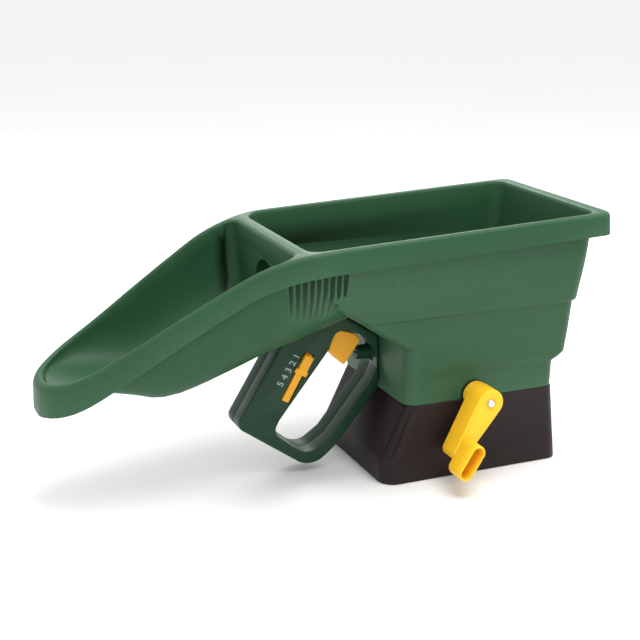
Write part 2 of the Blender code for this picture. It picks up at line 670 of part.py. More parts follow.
def make_crank():
    arm = side_prism("crank_arm", crank_outline(), ARM_FRONT, ARM_BACK, "crank_yellow")
    join(arm, turned("hub", [(ARM_BACK - 0.5, 11.8), (-69.4, 11.4)], (0, 0, AXLE_Z), 1, sides=24))
    kx, kz = CRANK_END
    cut(arm, rod("shaft_bore", (0, ARM_FRONT + 2.4, AXLE_Z), (0, -60, AXLE_Z), 4.3, sides=20),
        rod("screw_bore", (0, -100, AXLE_Z), (0, -90, AXLE_Z), 2.2, sides=12),
        rod("pin_bore", (kx, -100, kz), (kx, ARM_FRONT + 10, kz), 2.9, sides=12))
    smooth(arm)
    shaft = turned("crank_shaft", [(ARM_FRONT + 2.8, 4), (-9.4, 4)], (0, 0, AXLE_Z), 1,
                   "zinc_steel", 20)
    cut(shaft, rod("thread", (0, -98, AXLE_Z), (0, -80, AXLE_Z), 1.9, sides=12))
    smooth(shaft)
    screw = turned("crank_screw", [(-98.1, 2.6), (-96.9, 3.6), (-96.8, 1.6), (-82, 1.6)],
                   (0, 0, AXLE_Z), 1, "zinc_steel", 16)
    smooth(screw)
    bush = turned("crank_bush", [(-68.4, 8.4), (-66.8, 8.4), (-66.7, 6.2), (-60, 6.2)],
                  (0, 0, AXLE_Z), 1, "gear_white", 20)
    cut(bush, rod("bore", (0, -75, AXLE_Z), (0, -55, AXLE_Z), 4.3, sides=20))
    smooth(bush)
    knob = loft("crank_knob", [[(x, ARM_FRONT - 0.4, z) for x, z in oblong(15.6, 6.2)],
                               [(x, ARM_FRONT - 2.0, z) for x, z in oblong(16.4, 6.9)],
                               [(x, KNOB_FRONT + 1.0, z) for x, z in oblong(16.2, 6.8)],
                               [(x, KNOB_FRONT, z) for x, z in oblong(15.4, 6.0)]], "crank_yellow")
    cut(knob, side_prism("hollow", oblong(14.3, 4.8), KNOB_FRONT - 6, -101.5),
        rod("bore", (kx, -103, kz), (kx, -94, kz), 2.8, sides=12))
    smooth(knob)
    pin = turned("knob_pin", [(-103.7, 3.0), (-103.1, 4.2), (-101.9, 4.2), (-101.8, 2.4), (-87, 2.4)],
                 (kx, 0, kz), 1, "zinc_steel", 16)
    smooth(pin)


# Outlet gate ----------------------------------------------------------------------------

def make_gate():
    gate = box("gate_plate", -50, PORT[1] + 1.5, 8, 37, 91.3, 93.3, "gear_white")
    join(gate, box("arm", -50, -41, -6, 30, 91.35, 93.25), box("ear", -50, -47.5, -5.6, 5.6, 92, 102))
    cut(gate, rod("ear_hole", (-55, 0, ROD_Z), (-35, 0, ROD_Z), 1.7, sides=12))
    retainer = box("gate_retainer", 14, 48, 4.6, 46, 87.7, 90.9, "base_brown")
    windows = [box("window", 24.5, 37.5, 9, 36, 80, 100)]
    windows += [rod("hole", (x, 42.5, 80), (x, 42.5, 95), 1.7, sides=10) for x in (19, 43)]
    cut(retainer, *windows)
    for i, x in enumerate((19, 43)):
        smooth(turned(f"retainer_screw_{i + 1}", [(85.9, 1.8), (86.3, 2.8), (87.3, 2.8),
                                                  (87.4, 1.3), (94.5, 1.3)],
                      (x, 42.5, 0), 2, "zinc_steel", 12))
    pull = rod("pull_rod", (-98.6, 0, ROD_Z), (-44.5, 0, ROD_Z), 1.3, "zinc_steel", sides=12)
    join(pull, rod("cross", (-97.3, -4.2, ROD_Z), (-97.3, 4.2, ROD_Z), 1.6, sides=12),
         rod("collar", (-52.0, 0, ROD_Z), (-50.4, 0, ROD_Z), 2.6, sides=12))
    smooth(pull)
    clip = turned("rod_clip", [(-47.2, 3.0), (-46.0, 3.0)], (0, 0, ROD_Z), 0, "zinc_steel", 14)
    cut(clip, rod("bore", (-50, 0, ROD_Z), (-35, 0, ROD_Z), 1.65, sides=12))


# Handle ---------------------------------------------------------------------------------

def handle_outline():
    """The loop handle's side outline, meeting the scoop's belly, the slope and the neck."""
    corner = [(-149.6, belly_z(-149.6) - GAP - 0.3), (-127, belly_z(-127) - GAP - 0.3),
              (-103.9, belly_z(-103.9) - 1.2), (-65.6, slope_z(-65.6) - 1.4), (-64.9, 73.0),
              (-67.0, 66.5), (-105.6, 20.6), (-128.0, 2.6), (-196.0, 51.0)]
    return arc_corner(corner, {6: 30, 7: 21, 8: 8})


def handle_hole():
    corner = [(-114.0, 107.0), (-104.5, 127.5), (-83.0, 119.5), (-67.4, 103.5), (-67.4, 88.0),
              (-72.7, 76.5), (-110.3, 30.3), (-132.0, 15.5), (-163.5, 41.5), (-157.5, 52.5)]
    return arc_corner(corner, {1: 9, 2: 6, 3: 8, 4: 8, 7: 17, 8: 9})


SCREW_SITES = [(-135.0, 124.5), (-183.0, 58.5), (-162.5, 31.5), (-80.5, 61.5)]


def half_solid(name, side, outline, near, far):
    """A side outline between two distances from the middle plane, on one side of it."""
    return side_prism(name, outline, *sorted((side * near, side * far)))


def disc_outline(centre, radius, sides=14):
    return [(centre[0] + radius * math.cos(2 * math.pi * i / sides),
             centre[1] + radius * math.sin(2 * math.pi * i / sides)) for i in range(sides)]


def make_handle_half(name, side):
    """One shell of the handle: outer wall, loop wall, screw bosses and trigger openings."""
    outline, hole = handle_outline(), handle_hole()
    inner = HANDLE_HALF - HANDLE_WALL
    shell = half_solid(name, side, outline, 0.15, HANDLE_HALF)
    shell.data.materials.append(bpy.data.materials["handle_green"])
    cut(shell, half_solid("hole", side, hole, -5, 30))
    cavity = half_solid("cavity", side, offset(outline, HANDLE_WALL), -5, inner)
    cut(cavity, half_solid("loop_wall", side, offset(hole, -HANDLE_WALL), -10, 30),
        *[half_solid("boss", side, disc_outline(s, 3.8), 2.7 if i == 0 else -10, 30)
          for i, s in enumerate(SCREW_SITES)],
        half_solid("pin_boss", side, disc_outline(TRIGGER_PIVOT, 3.6), 9.6, 30))
    cut(shell, cavity)
    # openings: trigger block into the grip, trigger neck, hopper lug, rod guide
    block_window = [(-121, 104), (-119, 117), (-113.5, 126), (-99.5, 127), (-93, 122),
                    (-104, 110)]
    neck_window = [(-107, 117), (-104.5, 135), (-96, 135), (-91.5, 131.8), (-88, 126), (-88, 115)]
    lug_window = [(-141.7, 115), (-128.3, 115), (-128.3, 150), (-141.7, 150)]
    guide_window = [(x, ROD_Z + z) for x, z in ((-75, -7.2), (-60, -7.2), (-60, 7.2), (-75, 7.2))]
    cut(shell, half_solid("w1", side, block_window, -1, inner - 0.05),
        half_solid("w2", side, neck_window, -1, 9.6),
        half_solid("w3", side, lug_window, -1, 2.65),
        half_solid("w4", side, guide_window, -1, 7.2),
        half_solid("pin_hole", side, disc_outline(TRIGGER_PIVOT, 1.8, 12), 0, inner + 0.6))
    reach = (-1, 11.0) if side < 0 else (-1, 30)
    cut(shell, *[half_solid("screw_bore", side, disc_outline(s, 1.8, 10), *reach)
                 for s in SCREW_SITES])
    if side > 0:
        cut(shell, *[half_solid("head_bore", side, disc_outline(s, 3.3, 12), 12.4, 30)
                     for s in SCREW_SITES])
    else:
        length, _ = slot_frame()
        cut(shell, side_prism("slot", along_slot(-2.8, length, 4.6), -20, -8))
    return smooth(shell)


def slot_frame():
    dx, dz = SLOT_END[0] - SLOT_TOP[0], SLOT_END[1] - SLOT_TOP[1]
    length = math.hypot(dx, dz)
    return length, (dx / length, dz / length)


def along_slot(near, far, half):
    """A rectangle along the setting slot, in (x, z)."""
    _, (ux, uz) = slot_frame()
    nx, nz = -uz, ux
    return [(SLOT_TOP[0] + ux * s + nx * t, SLOT_TOP[1] + uz * s + nz * t)
            for s, t in ((near, -half), (far, -half), (far, half), (near, half))]


def make_slider():
    """The setting rail in the slot, and the thumb slide that straddles it."""
    length, _ = slot_frame()
    rail = side_prism("setting_rail", along_slot(-2.2, length - 0.6, 3.3), -16.0, -12.2, "amber")
    join(rail, side_prism("tab", along_slot(-6.5, -0.8, 2.8), -12.5, -11.3),
         side_prism("tab", along_slot(length - 3.5, length + 2.6, 2.8), -12.5, -11.3))
    slide = side_prism("setting_slide", along_slot(-1.0, 14.6, 4.4), -19.0, -16.4, "amber")
    join(slide, side_prism("legs", along_slot(7.5, 15, 4.2), -17, -10.6),
         side_prism("pointer", along_slot(12.4, 17.0, 6.0), -18.4, -16.4))
    cut(slide, side_prism("rail_way", along_slot(-20, 60, 3.6), -16.4, -11.8))
    return rail, slide


def make_trigger():
    px, pz = TRIGGER_PIVOT
    block = arc_corner([(-111.0, 107.3), (-106.3, 122.5), (-99.5, 124.2), (-87.5, 120.2),
                        (-81.0, 114.0), (-96.6, 92.1)], {0: 2.5, 1: 5, 2: 4, 3: 3, 4: 2.5, 5: 2.5}, 3)
    trigger = side_prism("trigger", block, -12.4, 12.4, "amber")
    neck = [(-104.6, 116)] + [(px + 3.5 * math.cos(math.radians(a)),
                               pz + 3.5 * math.sin(math.radians(a)))
                              for a in range(170, -11, -30)] + [(-90, 116)]
    join(trigger, side_prism("neck", neck, -6, 6))
    rod_slot = [(x, ROD_Z + z) for x, z in ((-100.4, -3.2), (-100.4, 3.2), (-80, 3.2),
                                             (-80, -3.2))]
    cut(trigger, rod("pin_bore", (px, -20, pz), (px, 20, pz), 1.8, sides=12),
        side_prism("rod_slot", rod_slot, -4.8, 4.8))
    smooth(trigger)
    pin = rod("trigger_pin", (px, -13.1, pz), (px, 13.1, pz), 1.5, "zinc_steel", sides=12)
    smooth(pin)
    guide = turned("rod_guide", [(-81.5, 5.0), (-80.5, 6.0), (-65.2, 6.8)], (0, 0, ROD_Z), 0,
                   "handle_green", 20)
    cut(guide, rod("bore", (-90, 0, ROD_Z), (-55, 0, ROD_Z), 1.8, sides=12))
    smooth(guide)


def make_trigger_spring():
    """A torsion spring coiled round the trigger's pin, beside its hub."""
    px, pz = TRIGGER_PIVOT
    turns, wire, coil, start, pitch = 2.5, 0.38, 2.6, 6.6, 1.0
    steps = int(turns * 12)
    rings = []
    for i in range(steps + 1):
        a = 2 * math.pi * i / 12
        y = start + pitch * i / 12
        ring = []
        for out, along in ((wire, 0), (0, wire), (-wire, 0), (0, -wire)):
            r = coil + out
            ring.append((px + r * math.cos(a), y + along, pz + r * math.sin(a)))
        rings.append(ring)
    return smooth(loft("trigger_spring", rings, "zinc_steel"), 60)


def make_screws():
    for i, (x, z) in enumerate(SCREW_SITES):
        smooth(turned(f"handle_screw_{i + 1}", [(-9.5, 1.4), (12.7, 1.4), (12.8, 2.9), (14.0, 2.9),
                                                (14.6, 2.2)], (x, 0, z), 1, "zinc_steel", 12))
    for i, (x, y) in enumerate(BASE_SCREWS):
        smooth(turned(f"base_screw_{i + 1}", [(0.3, 2.4), (0.5, 3.0), (1.4, 3.0), (1.5, 1.4),
                                              (14, 1.4)], (x, y, 0), 2, "zinc_steel", 12))


def main():
    clear_scene()
    make_materials()
    make_hopper()
    make_base_housing()
    make_base_floor()
    make_gear_frame()
    make_chute()
    make_spinner()
    make_drive_gear()
    make_crank()
    make_gate()
    make_handle_half("handle_near", -1)
    make_handle_half("handle_far", 1)
    make_slider()
    make_trigger()
    make_trigger_spring()
    make_screws()


main()
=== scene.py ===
import json
import math

import bmesh
import bpy
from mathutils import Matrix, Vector


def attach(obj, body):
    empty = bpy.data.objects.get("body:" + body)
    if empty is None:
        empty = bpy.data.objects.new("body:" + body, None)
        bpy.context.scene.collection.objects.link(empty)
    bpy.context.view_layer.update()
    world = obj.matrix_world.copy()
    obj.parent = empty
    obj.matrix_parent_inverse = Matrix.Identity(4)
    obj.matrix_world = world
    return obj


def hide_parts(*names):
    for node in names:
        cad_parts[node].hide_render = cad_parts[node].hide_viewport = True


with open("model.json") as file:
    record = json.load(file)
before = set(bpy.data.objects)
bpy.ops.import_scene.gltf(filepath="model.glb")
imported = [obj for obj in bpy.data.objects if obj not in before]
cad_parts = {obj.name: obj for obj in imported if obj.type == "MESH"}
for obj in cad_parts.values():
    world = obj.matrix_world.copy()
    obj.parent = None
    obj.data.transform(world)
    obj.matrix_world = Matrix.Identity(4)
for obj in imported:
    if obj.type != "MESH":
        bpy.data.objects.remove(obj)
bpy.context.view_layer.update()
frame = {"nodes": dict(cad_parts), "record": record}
mm = 0.001
axleHeight = 72.4               # of the crank's axis
print("frame loaded:", len(frame["nodes"]), "nodes")


# small helpers used by every piece

def deselectAll():
    if bpy.context.object and bpy.context.object.mode != "OBJECT":
        bpy.ops.object.mode_set(mode="OBJECT")
    bpy.ops.object.select_all(action="DESELECT")


def pickOnly(piece):
    deselectAll()
    piece.select_set(True)
    bpy.context.view_layer.objects.active = piece


def applyModifiers(piece):
    pickOnly(piece)
    for modifier in list(piece.modifiers):
        bpy.ops.object.modifier_apply(modifier=modifier.name)


def smoothShade(piece, angle):
    pickOnly(piece)
    bpy.ops.object.shade_smooth_by_angle(angle=math.radians(angle))


def pickEdges(piece, wanted):
    # leaves edit mode on with only the edges that pass the test selected
    pickOnly(piece)
    bpy.ops.object.mode_set(mode="EDIT")
    bpy.ops.mesh.select_mode(type="EDGE")
    bpy.ops.mesh.select_all(action="DESELECT")
    mesh = bmesh.from_edit_mesh(piece.data)
    for edge in mesh.edges:
        if len(edge.link_faces) == 2 and wanted(edge):
            edge.select_set(True)
    bmesh.update_edit_mesh(piece.data)


def edgeTurn(edge):
    return math.degrees(edge.calc_face_angle(0.0))


def bevelEdges(piece, width, segments, wanted):
    pickEdges(piece, wanted)
    bpy.ops.mesh.bevel(offset=width * mm, segments=segments, profile=0.5, clamp_overlap=True)
    bpy.ops.object.mode_set(mode="OBJECT")


def editAll(piece):
    pickOnly(piece)
    bpy.ops.object.mode_set(mode="EDIT")
    bpy.ops.mesh.select_all(action="SELECT")


def turnOutwards(piece):
    editAll(piece)
    bpy.ops.mesh.normals_make_consistent(inside=False)
    bpy.ops.object.mode_set(mode="OBJECT")


def outlineBlock(name, outline, y0, y1):
    # a straight block with the given x, z outline, standing between two y values
    y0, y1 = sorted((y0, y1))
    deselectAll()
    bpy.ops.mesh.primitive_circle_add(vertices=len(outline), radius=0.01, fill_type="NGON")
    piece = bpy.context.object
    piece.name = name
    for vertex, (x, z) in zip(piece.data.vertices, outline):
        vertex.co = (x * mm, y0 * mm, z * mm)
    editAll(piece)
    bpy.ops.mesh.extrude_region_move(TRANSFORM_OT_translate={"value": (0, (y1 - y0) * mm, 0)})
    turnOutwards(piece)
    return piece


def ringBlock(name, rings):
    # closed rings of equal count, extruded one after the other and capped
    deselectAll()
    bpy.ops.mesh.primitive_circle_add(vertices=len(rings[0]), radius=0.01, fill_type="NOTHING")
    piece = bpy.context.object
    piece.name = name
    for vertex, point in zip(piece.data.vertices, rings[0]):
        vertex.co = Vector(point) * mm
    editAll(piece)
    for ring in rings[1:]:
        bpy.ops.mesh.extrude_region_move()
        mesh = bmesh.from_edit_mesh(piece.data)
        for vertex, point in zip([v for v in mesh.verts if v.select], ring):
            vertex.co = Vector(point) * mm
        bmesh.update_edit_mesh(piece.data)
    bpy.ops.mesh.edge_face_add()
    bpy.ops.mesh.select_all(action="DESELECT")
    mesh = bmesh.from_edit_mesh(piece.data)
    for edge in mesh.edges:
        if edge.is_boundary:
            edge.select_set(True)
    bmesh.update_edit_mesh(piece.data)
    bpy.ops.mesh.edge_face_add()
    turnOutwards(piece)
    return piece


def roundRod(name, start, end, radius, sides=40, endRadius=None):
    # a round bar between two points in millimetres
    a, b = Vector(start), Vector(end)
    way = (b - a).normalized()
    side = way.orthogonal().normalized()
    up = way.cross(side)
    rings = []
    for centre, r in ((a, radius), (b, radius if endRadius is None else endRadius)):
        rings.append([centre + (side * math.cos(2 * math.pi * i / sides)
                                + up * math.sin(2 * math.pi * i / sides)) * r
                      for i in range(sides)])
    return ringBlock(name, rings)


def combine(piece, other, operation="UNION"):
    modifier = piece.modifiers.new("combine", "BOOLEAN")
    modifier.operation = operation
    modifier.solver = "EXACT"
    modifier.object = other
    applyModifiers(piece)
    bpy.data.objects.remove(other)
    return piece


def cutAway(piece, *others):
    for other in others:
        combine(piece, other, "DIFFERENCE")
    return piece


def mergeClose(piece, gap):
    editAll(piece)
    bpy.ops.mesh.remove_doubles(threshold=gap * mm)
    bpy.ops.object.mode_set(mode="OBJECT")


def markRecessShade(piece, depthAt):
    # how deep each point lies in a moulded recess, kept as an attribute that darkens it with
    # painted shade
    attribute = piece.data.attributes.new("recessShade", "FLOAT", "POINT")
    for vertex, value in zip(piece.data.vertices, attribute.data):
        value.value = depthAt(*(vertex.co / mm))


def finishPiece(piece, body, finish, slot, *nodes, angle=35):
    smoothShade(piece, angle)
    piece.data.materials.clear()
    piece.data.materials.append(finishes[finish])
    markWear(piece)
    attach(piece, body)
    if nodes:
        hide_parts(*nodes)


def markWear(piece):
    # how sharply the surface turns outwards at each point, kept as an attribute for the wear
    mesh = bmesh.new()
    mesh.from_mesh(piece.data)
    values = []
    for vertex in mesh.verts:
        turns = [edge.calc_face_angle_signed(0.0) / max(edge.calc_length() * 400, 0.5)
                 for edge in vertex.link_edges if len(edge.link_faces) == 2]
        values.append(min(max(max(turns, default=0.0) * 1.6, 0.0), 1.0))
    mesh.free()
    attribute = piece.data.attributes.new("wear", "FLOAT", "POINT")
    attribute.data.foreach_set("value", values)


def curveThrough(points, x):
    # a smooth curve through (x, value) points
    for i in range(len(points) - 1):
        if x <= points[i + 1][0] or i == len(points) - 2:
            break
    x0, y0 = points[i]
    x1, y1 = points[i + 1]
    before = points[i - 1] if i else (2 * x0 - x1, 2 * y0 - y1)
    after = points[i + 2] if i + 2 < len(points) else (2 * x1 - x0, 2 * y1 - y0)
    m0 = (y1 - before[1]) / (x1 - before[0])
    m1 = (after[1] - y0) / (after[0] - x0)
    t = (x - x0) / (x1 - x0)
    h = x1 - x0
    return ((2 * t**3 - 3 * t**2 + 1) * y0 + (t**3 - 2 * t**2 + t) * h * m0
            + (3 * t**2 - 2 * t**3) * y1 + (t**3 - t**2) * h * m1)


def archOutline(half, foot):
    # straight sides from the foot up, and a round top about the crank's axis
    return [(-half, foot)] + [(-half * math.cos(math.radians(a)),
                               axleHeight + half * math.sin(math.radians(a)))
                              for a in range(0, 181, 9)] + [(half, foot)]


def roundCorners(outline, radii, steps=10):
    # an outline with the chosen corners rounded
    rounded = []
    for i, point in enumerate(outline):
        radius = radii.get(i, 0)
        if not radius:
            rounded.append(point)
            continue
        rays = []
        for other in (outline[i - 1], outline[(i + 1) % len(outline)]):
            dx, dz = other[0] - point[0], other[1] - point[1]
            length = math.hypot(dx, dz)
            rays.append((dx / length, dz / length))
        (ax, az), (bx, bz) = rays
        half = math.acos(max(-1, min(1, ax * bx + az * bz))) / 2
        reach = radius / math.tan(half)
        mx, mz = ax + bx, az + bz
        m = math.hypot(mx, mz)
        centre = (point[0] + mx / m * radius / math.sin(half),
                  point[1] + mz / m * radius / math.sin(half))
        first = math.atan2(point[1] + az * reach - centre[1], point[0] + ax * reach - centre[0])
        last = math.atan2(point[1] + bz * reach - centre[1], point[0] + bx * reach - centre[0])
        turn = (last - first + math.pi) % (2 * math.pi) - math.pi
        for s in range(steps + 1):
            a = first + turn * s / steps
            rounded.append((centre[0] + radius * math.cos(a), centre[1] + radius * math.sin(a)))
    return rounded


# shader groups for the effects that several finishes share

def newGroup(name, inputs, outputs):
    # a group whose sockets are all plain numbers
    tree = bpy.data.node_groups.new(name, "ShaderNodeTree")
    for label, value in inputs.items():
        socket = tree.interface.new_socket(label, in_out="INPUT", socket_type="NodeSocketFloat")
        socket.default_value = value
    for label in outputs:
        tree.interface.new_socket(label, in_out="OUTPUT", socket_type="NodeSocketFloat")
    return tree, tree.nodes.new("NodeGroupInput"), tree.nodes.new("NodeGroupOutput")


def addNode(tree, kind, **settings):
    node = tree.nodes.new(kind)
    for label, value in settings.items():
        if label.startswith("in_"):
            node.inputs[label[3:].replace("_", " ")].default_value = value
        else:
            setattr(node, label, value)
    return node


def mathNode(tree, operation, first, second, clamp=False):
    node = tree.nodes.new("ShaderNodeMath")
    node.operation = operation
    node.use_clamp = clamp
    for i, value in enumerate((first, second)):
        if isinstance(value, (int, float)):
            node.inputs[i].default_value = value
        else:
            tree.links.new(value, node.inputs[i])
    return node.outputs[0]


def times(tree, first, second, clamp=False):
    return mathNode(tree, "MULTIPLY", first, second, clamp)


def plus(tree, first, second, clamp=False):
    return mathNode(tree, "ADD", first, second, clamp)


def less(tree, first, second, clamp=False):
    return mathNode(tree, "SUBTRACT", first, second, clamp)


def noiseOn(tree, **settings):
    # a noise texture on the piece's own coordinates
    place = addNode(tree, "ShaderNodeTexCoord")
    noise = addNode(tree, "ShaderNodeTexNoise", **settings)
    tree.links.new(place.outputs["Object"], noise.inputs["Vector"])
    return noise


def mixColour(tree, share, first, second):
    node = tree.nodes.new("ShaderNodeMix")
    node.data_type = "RGBA"
    sockets = [s for s in node.inputs if s.enabled]
    for socket, value in zip(sockets, (share, first, second)):
        if isinstance(value, bpy.types.NodeSocket):
            tree.links.new(value, socket)
        else:
            socket.default_value = value
    return [s for s in node.outputs if s.enabled][0]


def buildPlasticGrain():
    # moulded plastic: fine spark-eroded grain, faint flow marks and soft sink waves
    tree, enter, leave = newGroup("plasticGrain", {"Grain Scale": 2200.0, "Flow Scale": 18.0},
                                  ["Height", "Mottle", "Gloss Shift"])
    grain = noiseOn(tree, in_Detail=4.0, in_Roughness=0.6)
    flow = noiseOn(tree, in_Detail=5.0, in_Roughness=0.55, in_Distortion=0.6)
    patch = noiseOn(tree, in_Scale=55.0, in_Detail=6.0, in_Roughness=0.65)
    tree.links.new(enter.outputs["Grain Scale"], grain.inputs["Scale"])
    tree.links.new(enter.outputs["Flow Scale"], flow.inputs["Scale"])
    height = plus(tree, times(tree, grain.outputs["Fac"], 0.35),
                  times(tree, flow.outputs["Fac"], 1.6))
    tree.links.new(height, leave.inputs["Height"])
    mottle = plus(tree, times(tree, flow.outputs["Fac"], 0.6),
                  times(tree, patch.outputs["Fac"], 0.4))
    tree.links.new(mottle, leave.inputs["Mottle"])
    tree.links.new(less(tree, patch.outputs["Fac"], 0.5), leave.inputs["Gloss Shift"])
    return tree


def buildScuffs():
    # fine long scratches in two directions, broken up by patches
    tree, enter, leave = newGroup("scuffs", {"Amount": 0.5}, ["Mask"])
    place = addNode(tree, "ShaderNodeTexCoord")
    masks = []
    for turn, stretch in ((0.5, (14.0, 420.0, 420.0)), (-0.9, (420.0, 14.0, 380.0))):
        mapping = addNode(tree, "ShaderNodeMapping")
        mapping.inputs["Rotation"].default_value = (turn * 0.6, turn, turn * 1.3)
        mapping.inputs["Scale"].default_value = stretch
        tree.links.new(place.outputs["Object"], mapping.inputs["Vector"])
        lines = addNode(tree, "ShaderNodeTexNoise", in_Scale=1.0, in_Detail=2.0)
        tree.links.new(mapping.outputs["Vector"], lines.inputs["Vector"])
        masks.append(times(tree, less(tree, lines.outputs["Fac"], 0.66, True), 9.0))
    patch = noiseOn(tree, in_Scale=26.0, in_Detail=3.0)
    share = times(tree, less(tree, patch.outputs["Fac"], 0.5, True), enter.outputs["Amount"])
    both = plus(tree, masks[0], masks[1])
    tree.links.new(times(tree, both, times(tree, share, 4.0), True), leave.inputs["Mask"])
    return tree


def buildEdgeWear():
    # rubbed edges, from the wear attribute broken up by noise
    tree, enter, leave = newGroup("edgeWear", {"Amount": 0.5}, ["Mask"])
    wear = addNode(tree, "ShaderNodeAttribute", attribute_name="wear")
    noise = noiseOn(tree, in_Scale=240.0, in_Detail=5.0)
    broken = times(tree, wear.outputs["Fac"], plus(tree, noise.outputs["Fac"], 0.35))
    tree.links.new(times(tree, broken, enter.outputs["Amount"], True), leave.inputs["Mask"])
    return tree


def buildDust():
    # light dust that lies on faces that look up
    tree, enter, leave = newGroup("dust", {"Amount": 0.3}, ["Mask"])
    facing = addNode(tree, "ShaderNodeNewGeometry")
    split = addNode(tree, "ShaderNodeSeparateXYZ")
    tree.links.new(facing.outputs["Normal"], split.inputs["Vector"])
    noise = noiseOn(tree, in_Scale=90.0, in_Detail=8.0, in_Roughness=0.7)
    up = times(tree, less(tree, split.outputs["Z"], 0.25, True), 1.3)
    specks = times(tree, less(tree, noise.outputs["Fac"], 0.42, True), 3.0)
    tree.links.new(times(tree, times(tree, up, specks), enter.outputs["Amount"], True),
                   leave.inputs["Mask"])
    return tree


groups = {"grain": buildPlasticGrain(), "scuffs": buildScuffs(), "wear": buildEdgeWear(),
          "dust": buildDust()}


def useGroup(tree, name, **values):
    node = tree.nodes.new("ShaderNodeGroup")
    node.node_tree = groups[name]
    for label, value in values.items():
        node.inputs[label].default_value = value
    return node


dustColour = (0.16, 0.15, 0.12, 1.0)


def shade(colour, factor):
    return tuple(min(c * factor, 1.0) for c in colour) + (1.0,)


def newMaterial(name):
    material = bpy.data.materials.new(name)
    material.use_nodes = True
    return material, material.node_tree, material.node_tree.nodes["Principled BSDF"]


def addRelief(tree, shader, height, strength, distance):
    relief = addNode(tree, "ShaderNodeBump", in_Strength=strength, in_Distance=distance)
    tree.links.new(height, relief.inputs["Height"])
    tree.links.new(relief.outputs["Normal"], shader.inputs["Normal"])


def plasticFinish(name, colour, roughness=0.42, bump=0.06, worn=0.35, scuffed=0.5, dusty=0.25,
                  spread=0.16, subsurface=0.0):
    material, tree, shader = newMaterial(name)
    grain = useGroup(tree, "grain")
    scuffs = useGroup(tree, "scuffs", Amount=scuffed)
    wear = useGroup(tree, "wear", Amount=worn)
    dust = useGroup(tree, "dust", Amount=dusty)
    base = mixColour(tree, grain.outputs["Mottle"], shade(colour, 1 - spread),
                     shade(colour, 1 + spread))
    # painted shade: where a piece carries the recess attribute, its colour is darkened towards an
    # eighth of itself, as in the flutes
    recessShade = addNode(tree, "ShaderNodeAttribute", attribute_name="recessShade")
    base = mixColour(tree, recessShade.outputs["Fac"], base, shade(colour, 0.12))
    paler = tuple(c * 1.8 + 0.05 for c in colour) + (1.0,)
    rubbed = mixColour(tree, times(tree, wear.outputs["Mask"], 0.75), base, paler)
    scratched = mixColour(tree, times(tree, scuffs.outputs["Mask"], 0.35), rubbed, paler)
    dusted = mixColour(tree, times(tree, dust.outputs["Mask"], 0.30), scratched, dustColour)
    tree.links.new(dusted, shader.inputs["Base Color"])
    gloss = plus(tree, roughness, times(tree, grain.outputs["Gloss Shift"], 0.22))
    gloss = plus(tree, gloss, times(tree, scuffs.outputs["Mask"], 0.2))
    gloss = plus(tree, gloss, times(tree, dust.outputs["Mask"], 0.25), True)
    tree.links.new(gloss, shader.inputs["Roughness"])
    height = less(tree, grain.outputs["Height"], times(tree, scuffs.outputs["Mask"], 0.4))
    addRelief(tree, shader, height, bump, 0.0006)
    shader.inputs["IOR"].default_value = 1.49
    shader.inputs["Specular IOR Level"].default_value = 0.22
    if subsurface:
        shader.inputs["Subsurface Weight"].default_value = subsurface
        shader.inputs["Subsurface Radius"].default_value = (0.004, 0.003, 0.001)
    return material


def metalFinish(name, colour=(0.62, 0.63, 0.65), roughness=0.3):
    material, tree, shader = newMaterial(name)
    cloud = noiseOn(tree, in_Scale=420.0, in_Detail=6.0)
    turned = noiseOn(tree, in_Scale=2600.0, in_Detail=2.0)
    tree.links.new(mixColour(tree, cloud.outputs["Fac"], shade(colour, 0.78),
                             shade(colour, 1.12)), shader.inputs["Base Color"])
    shader.inputs["Metallic"].default_value = 1.0
    tree.links.new(plus(tree, roughness - 0.1, times(tree, cloud.outputs["Fac"], 0.25)),
                   shader.inputs["Roughness"])
    addRelief(tree, shader, turned.outputs["Fac"], 0.12, 0.0002)
    return material


plasticPlan = {
    "hopperGreen": dict(colour=(0.022, 0.080, 0.034), roughness=0.46, bump=0.10, spread=0.14),
    "handleGreen": dict(colour=(0.0075, 0.038, 0.017)),
    "baseBrown": dict(colour=(0.010, 0.0035, 0.004), roughness=0.48, bump=0.12, worn=0.2,
                      scuffed=0.3, dusty=0.1),
    "crankYellow": dict(colour=(0.95, 0.52, 0.018), roughness=0.36, dusty=0.1, spread=0.07,
                        worn=0.25, subsurface=0.15),
    "amberPlastic": dict(colour=(0.80, 0.37, 0.018), roughness=0.36, dusty=0.1, spread=0.08,
                         worn=0.25, subsurface=0.1),
    "naturalNylon": dict(colour=(0.72, 0.72, 0.68), roughness=0.4, dusty=0.1, spread=0.05),
    "softSeal": dict(colour=(0.02, 0.02, 0.02), roughness=0.7, bump=0.2),
    "paleInk": dict(colour=(0.30, 0.38, 0.38), roughness=0.5, spread=0.1, dusty=0.0)}
finishes = {name: plasticFinish(name, **plan) for name, plan in plasticPlan.items()}
finishes["zincPlate"] = metalFinish("zincPlate")
slotFinish = {"hopper_green": "hopperGreen", "handle_green": "handleGreen",
              "base_brown": "baseBrown", "crank_yellow": "crankYellow",
              "amber": "amberPlastic", "gear_white": "naturalNylon",
              "zinc_steel": "zincPlate", "seal_black": "softSeal"}
for subpart in frame["record"]["subparts"]:
    node = frame["nodes"].get(subpart["node"])
    if node and node.type == "MESH":
        for slot in node.material_slots:
            slot.material = finishes[slotFinish[subpart["material_slot"]]]
print("finishes made")


# hopper: box, scoop and the rim that runs round both

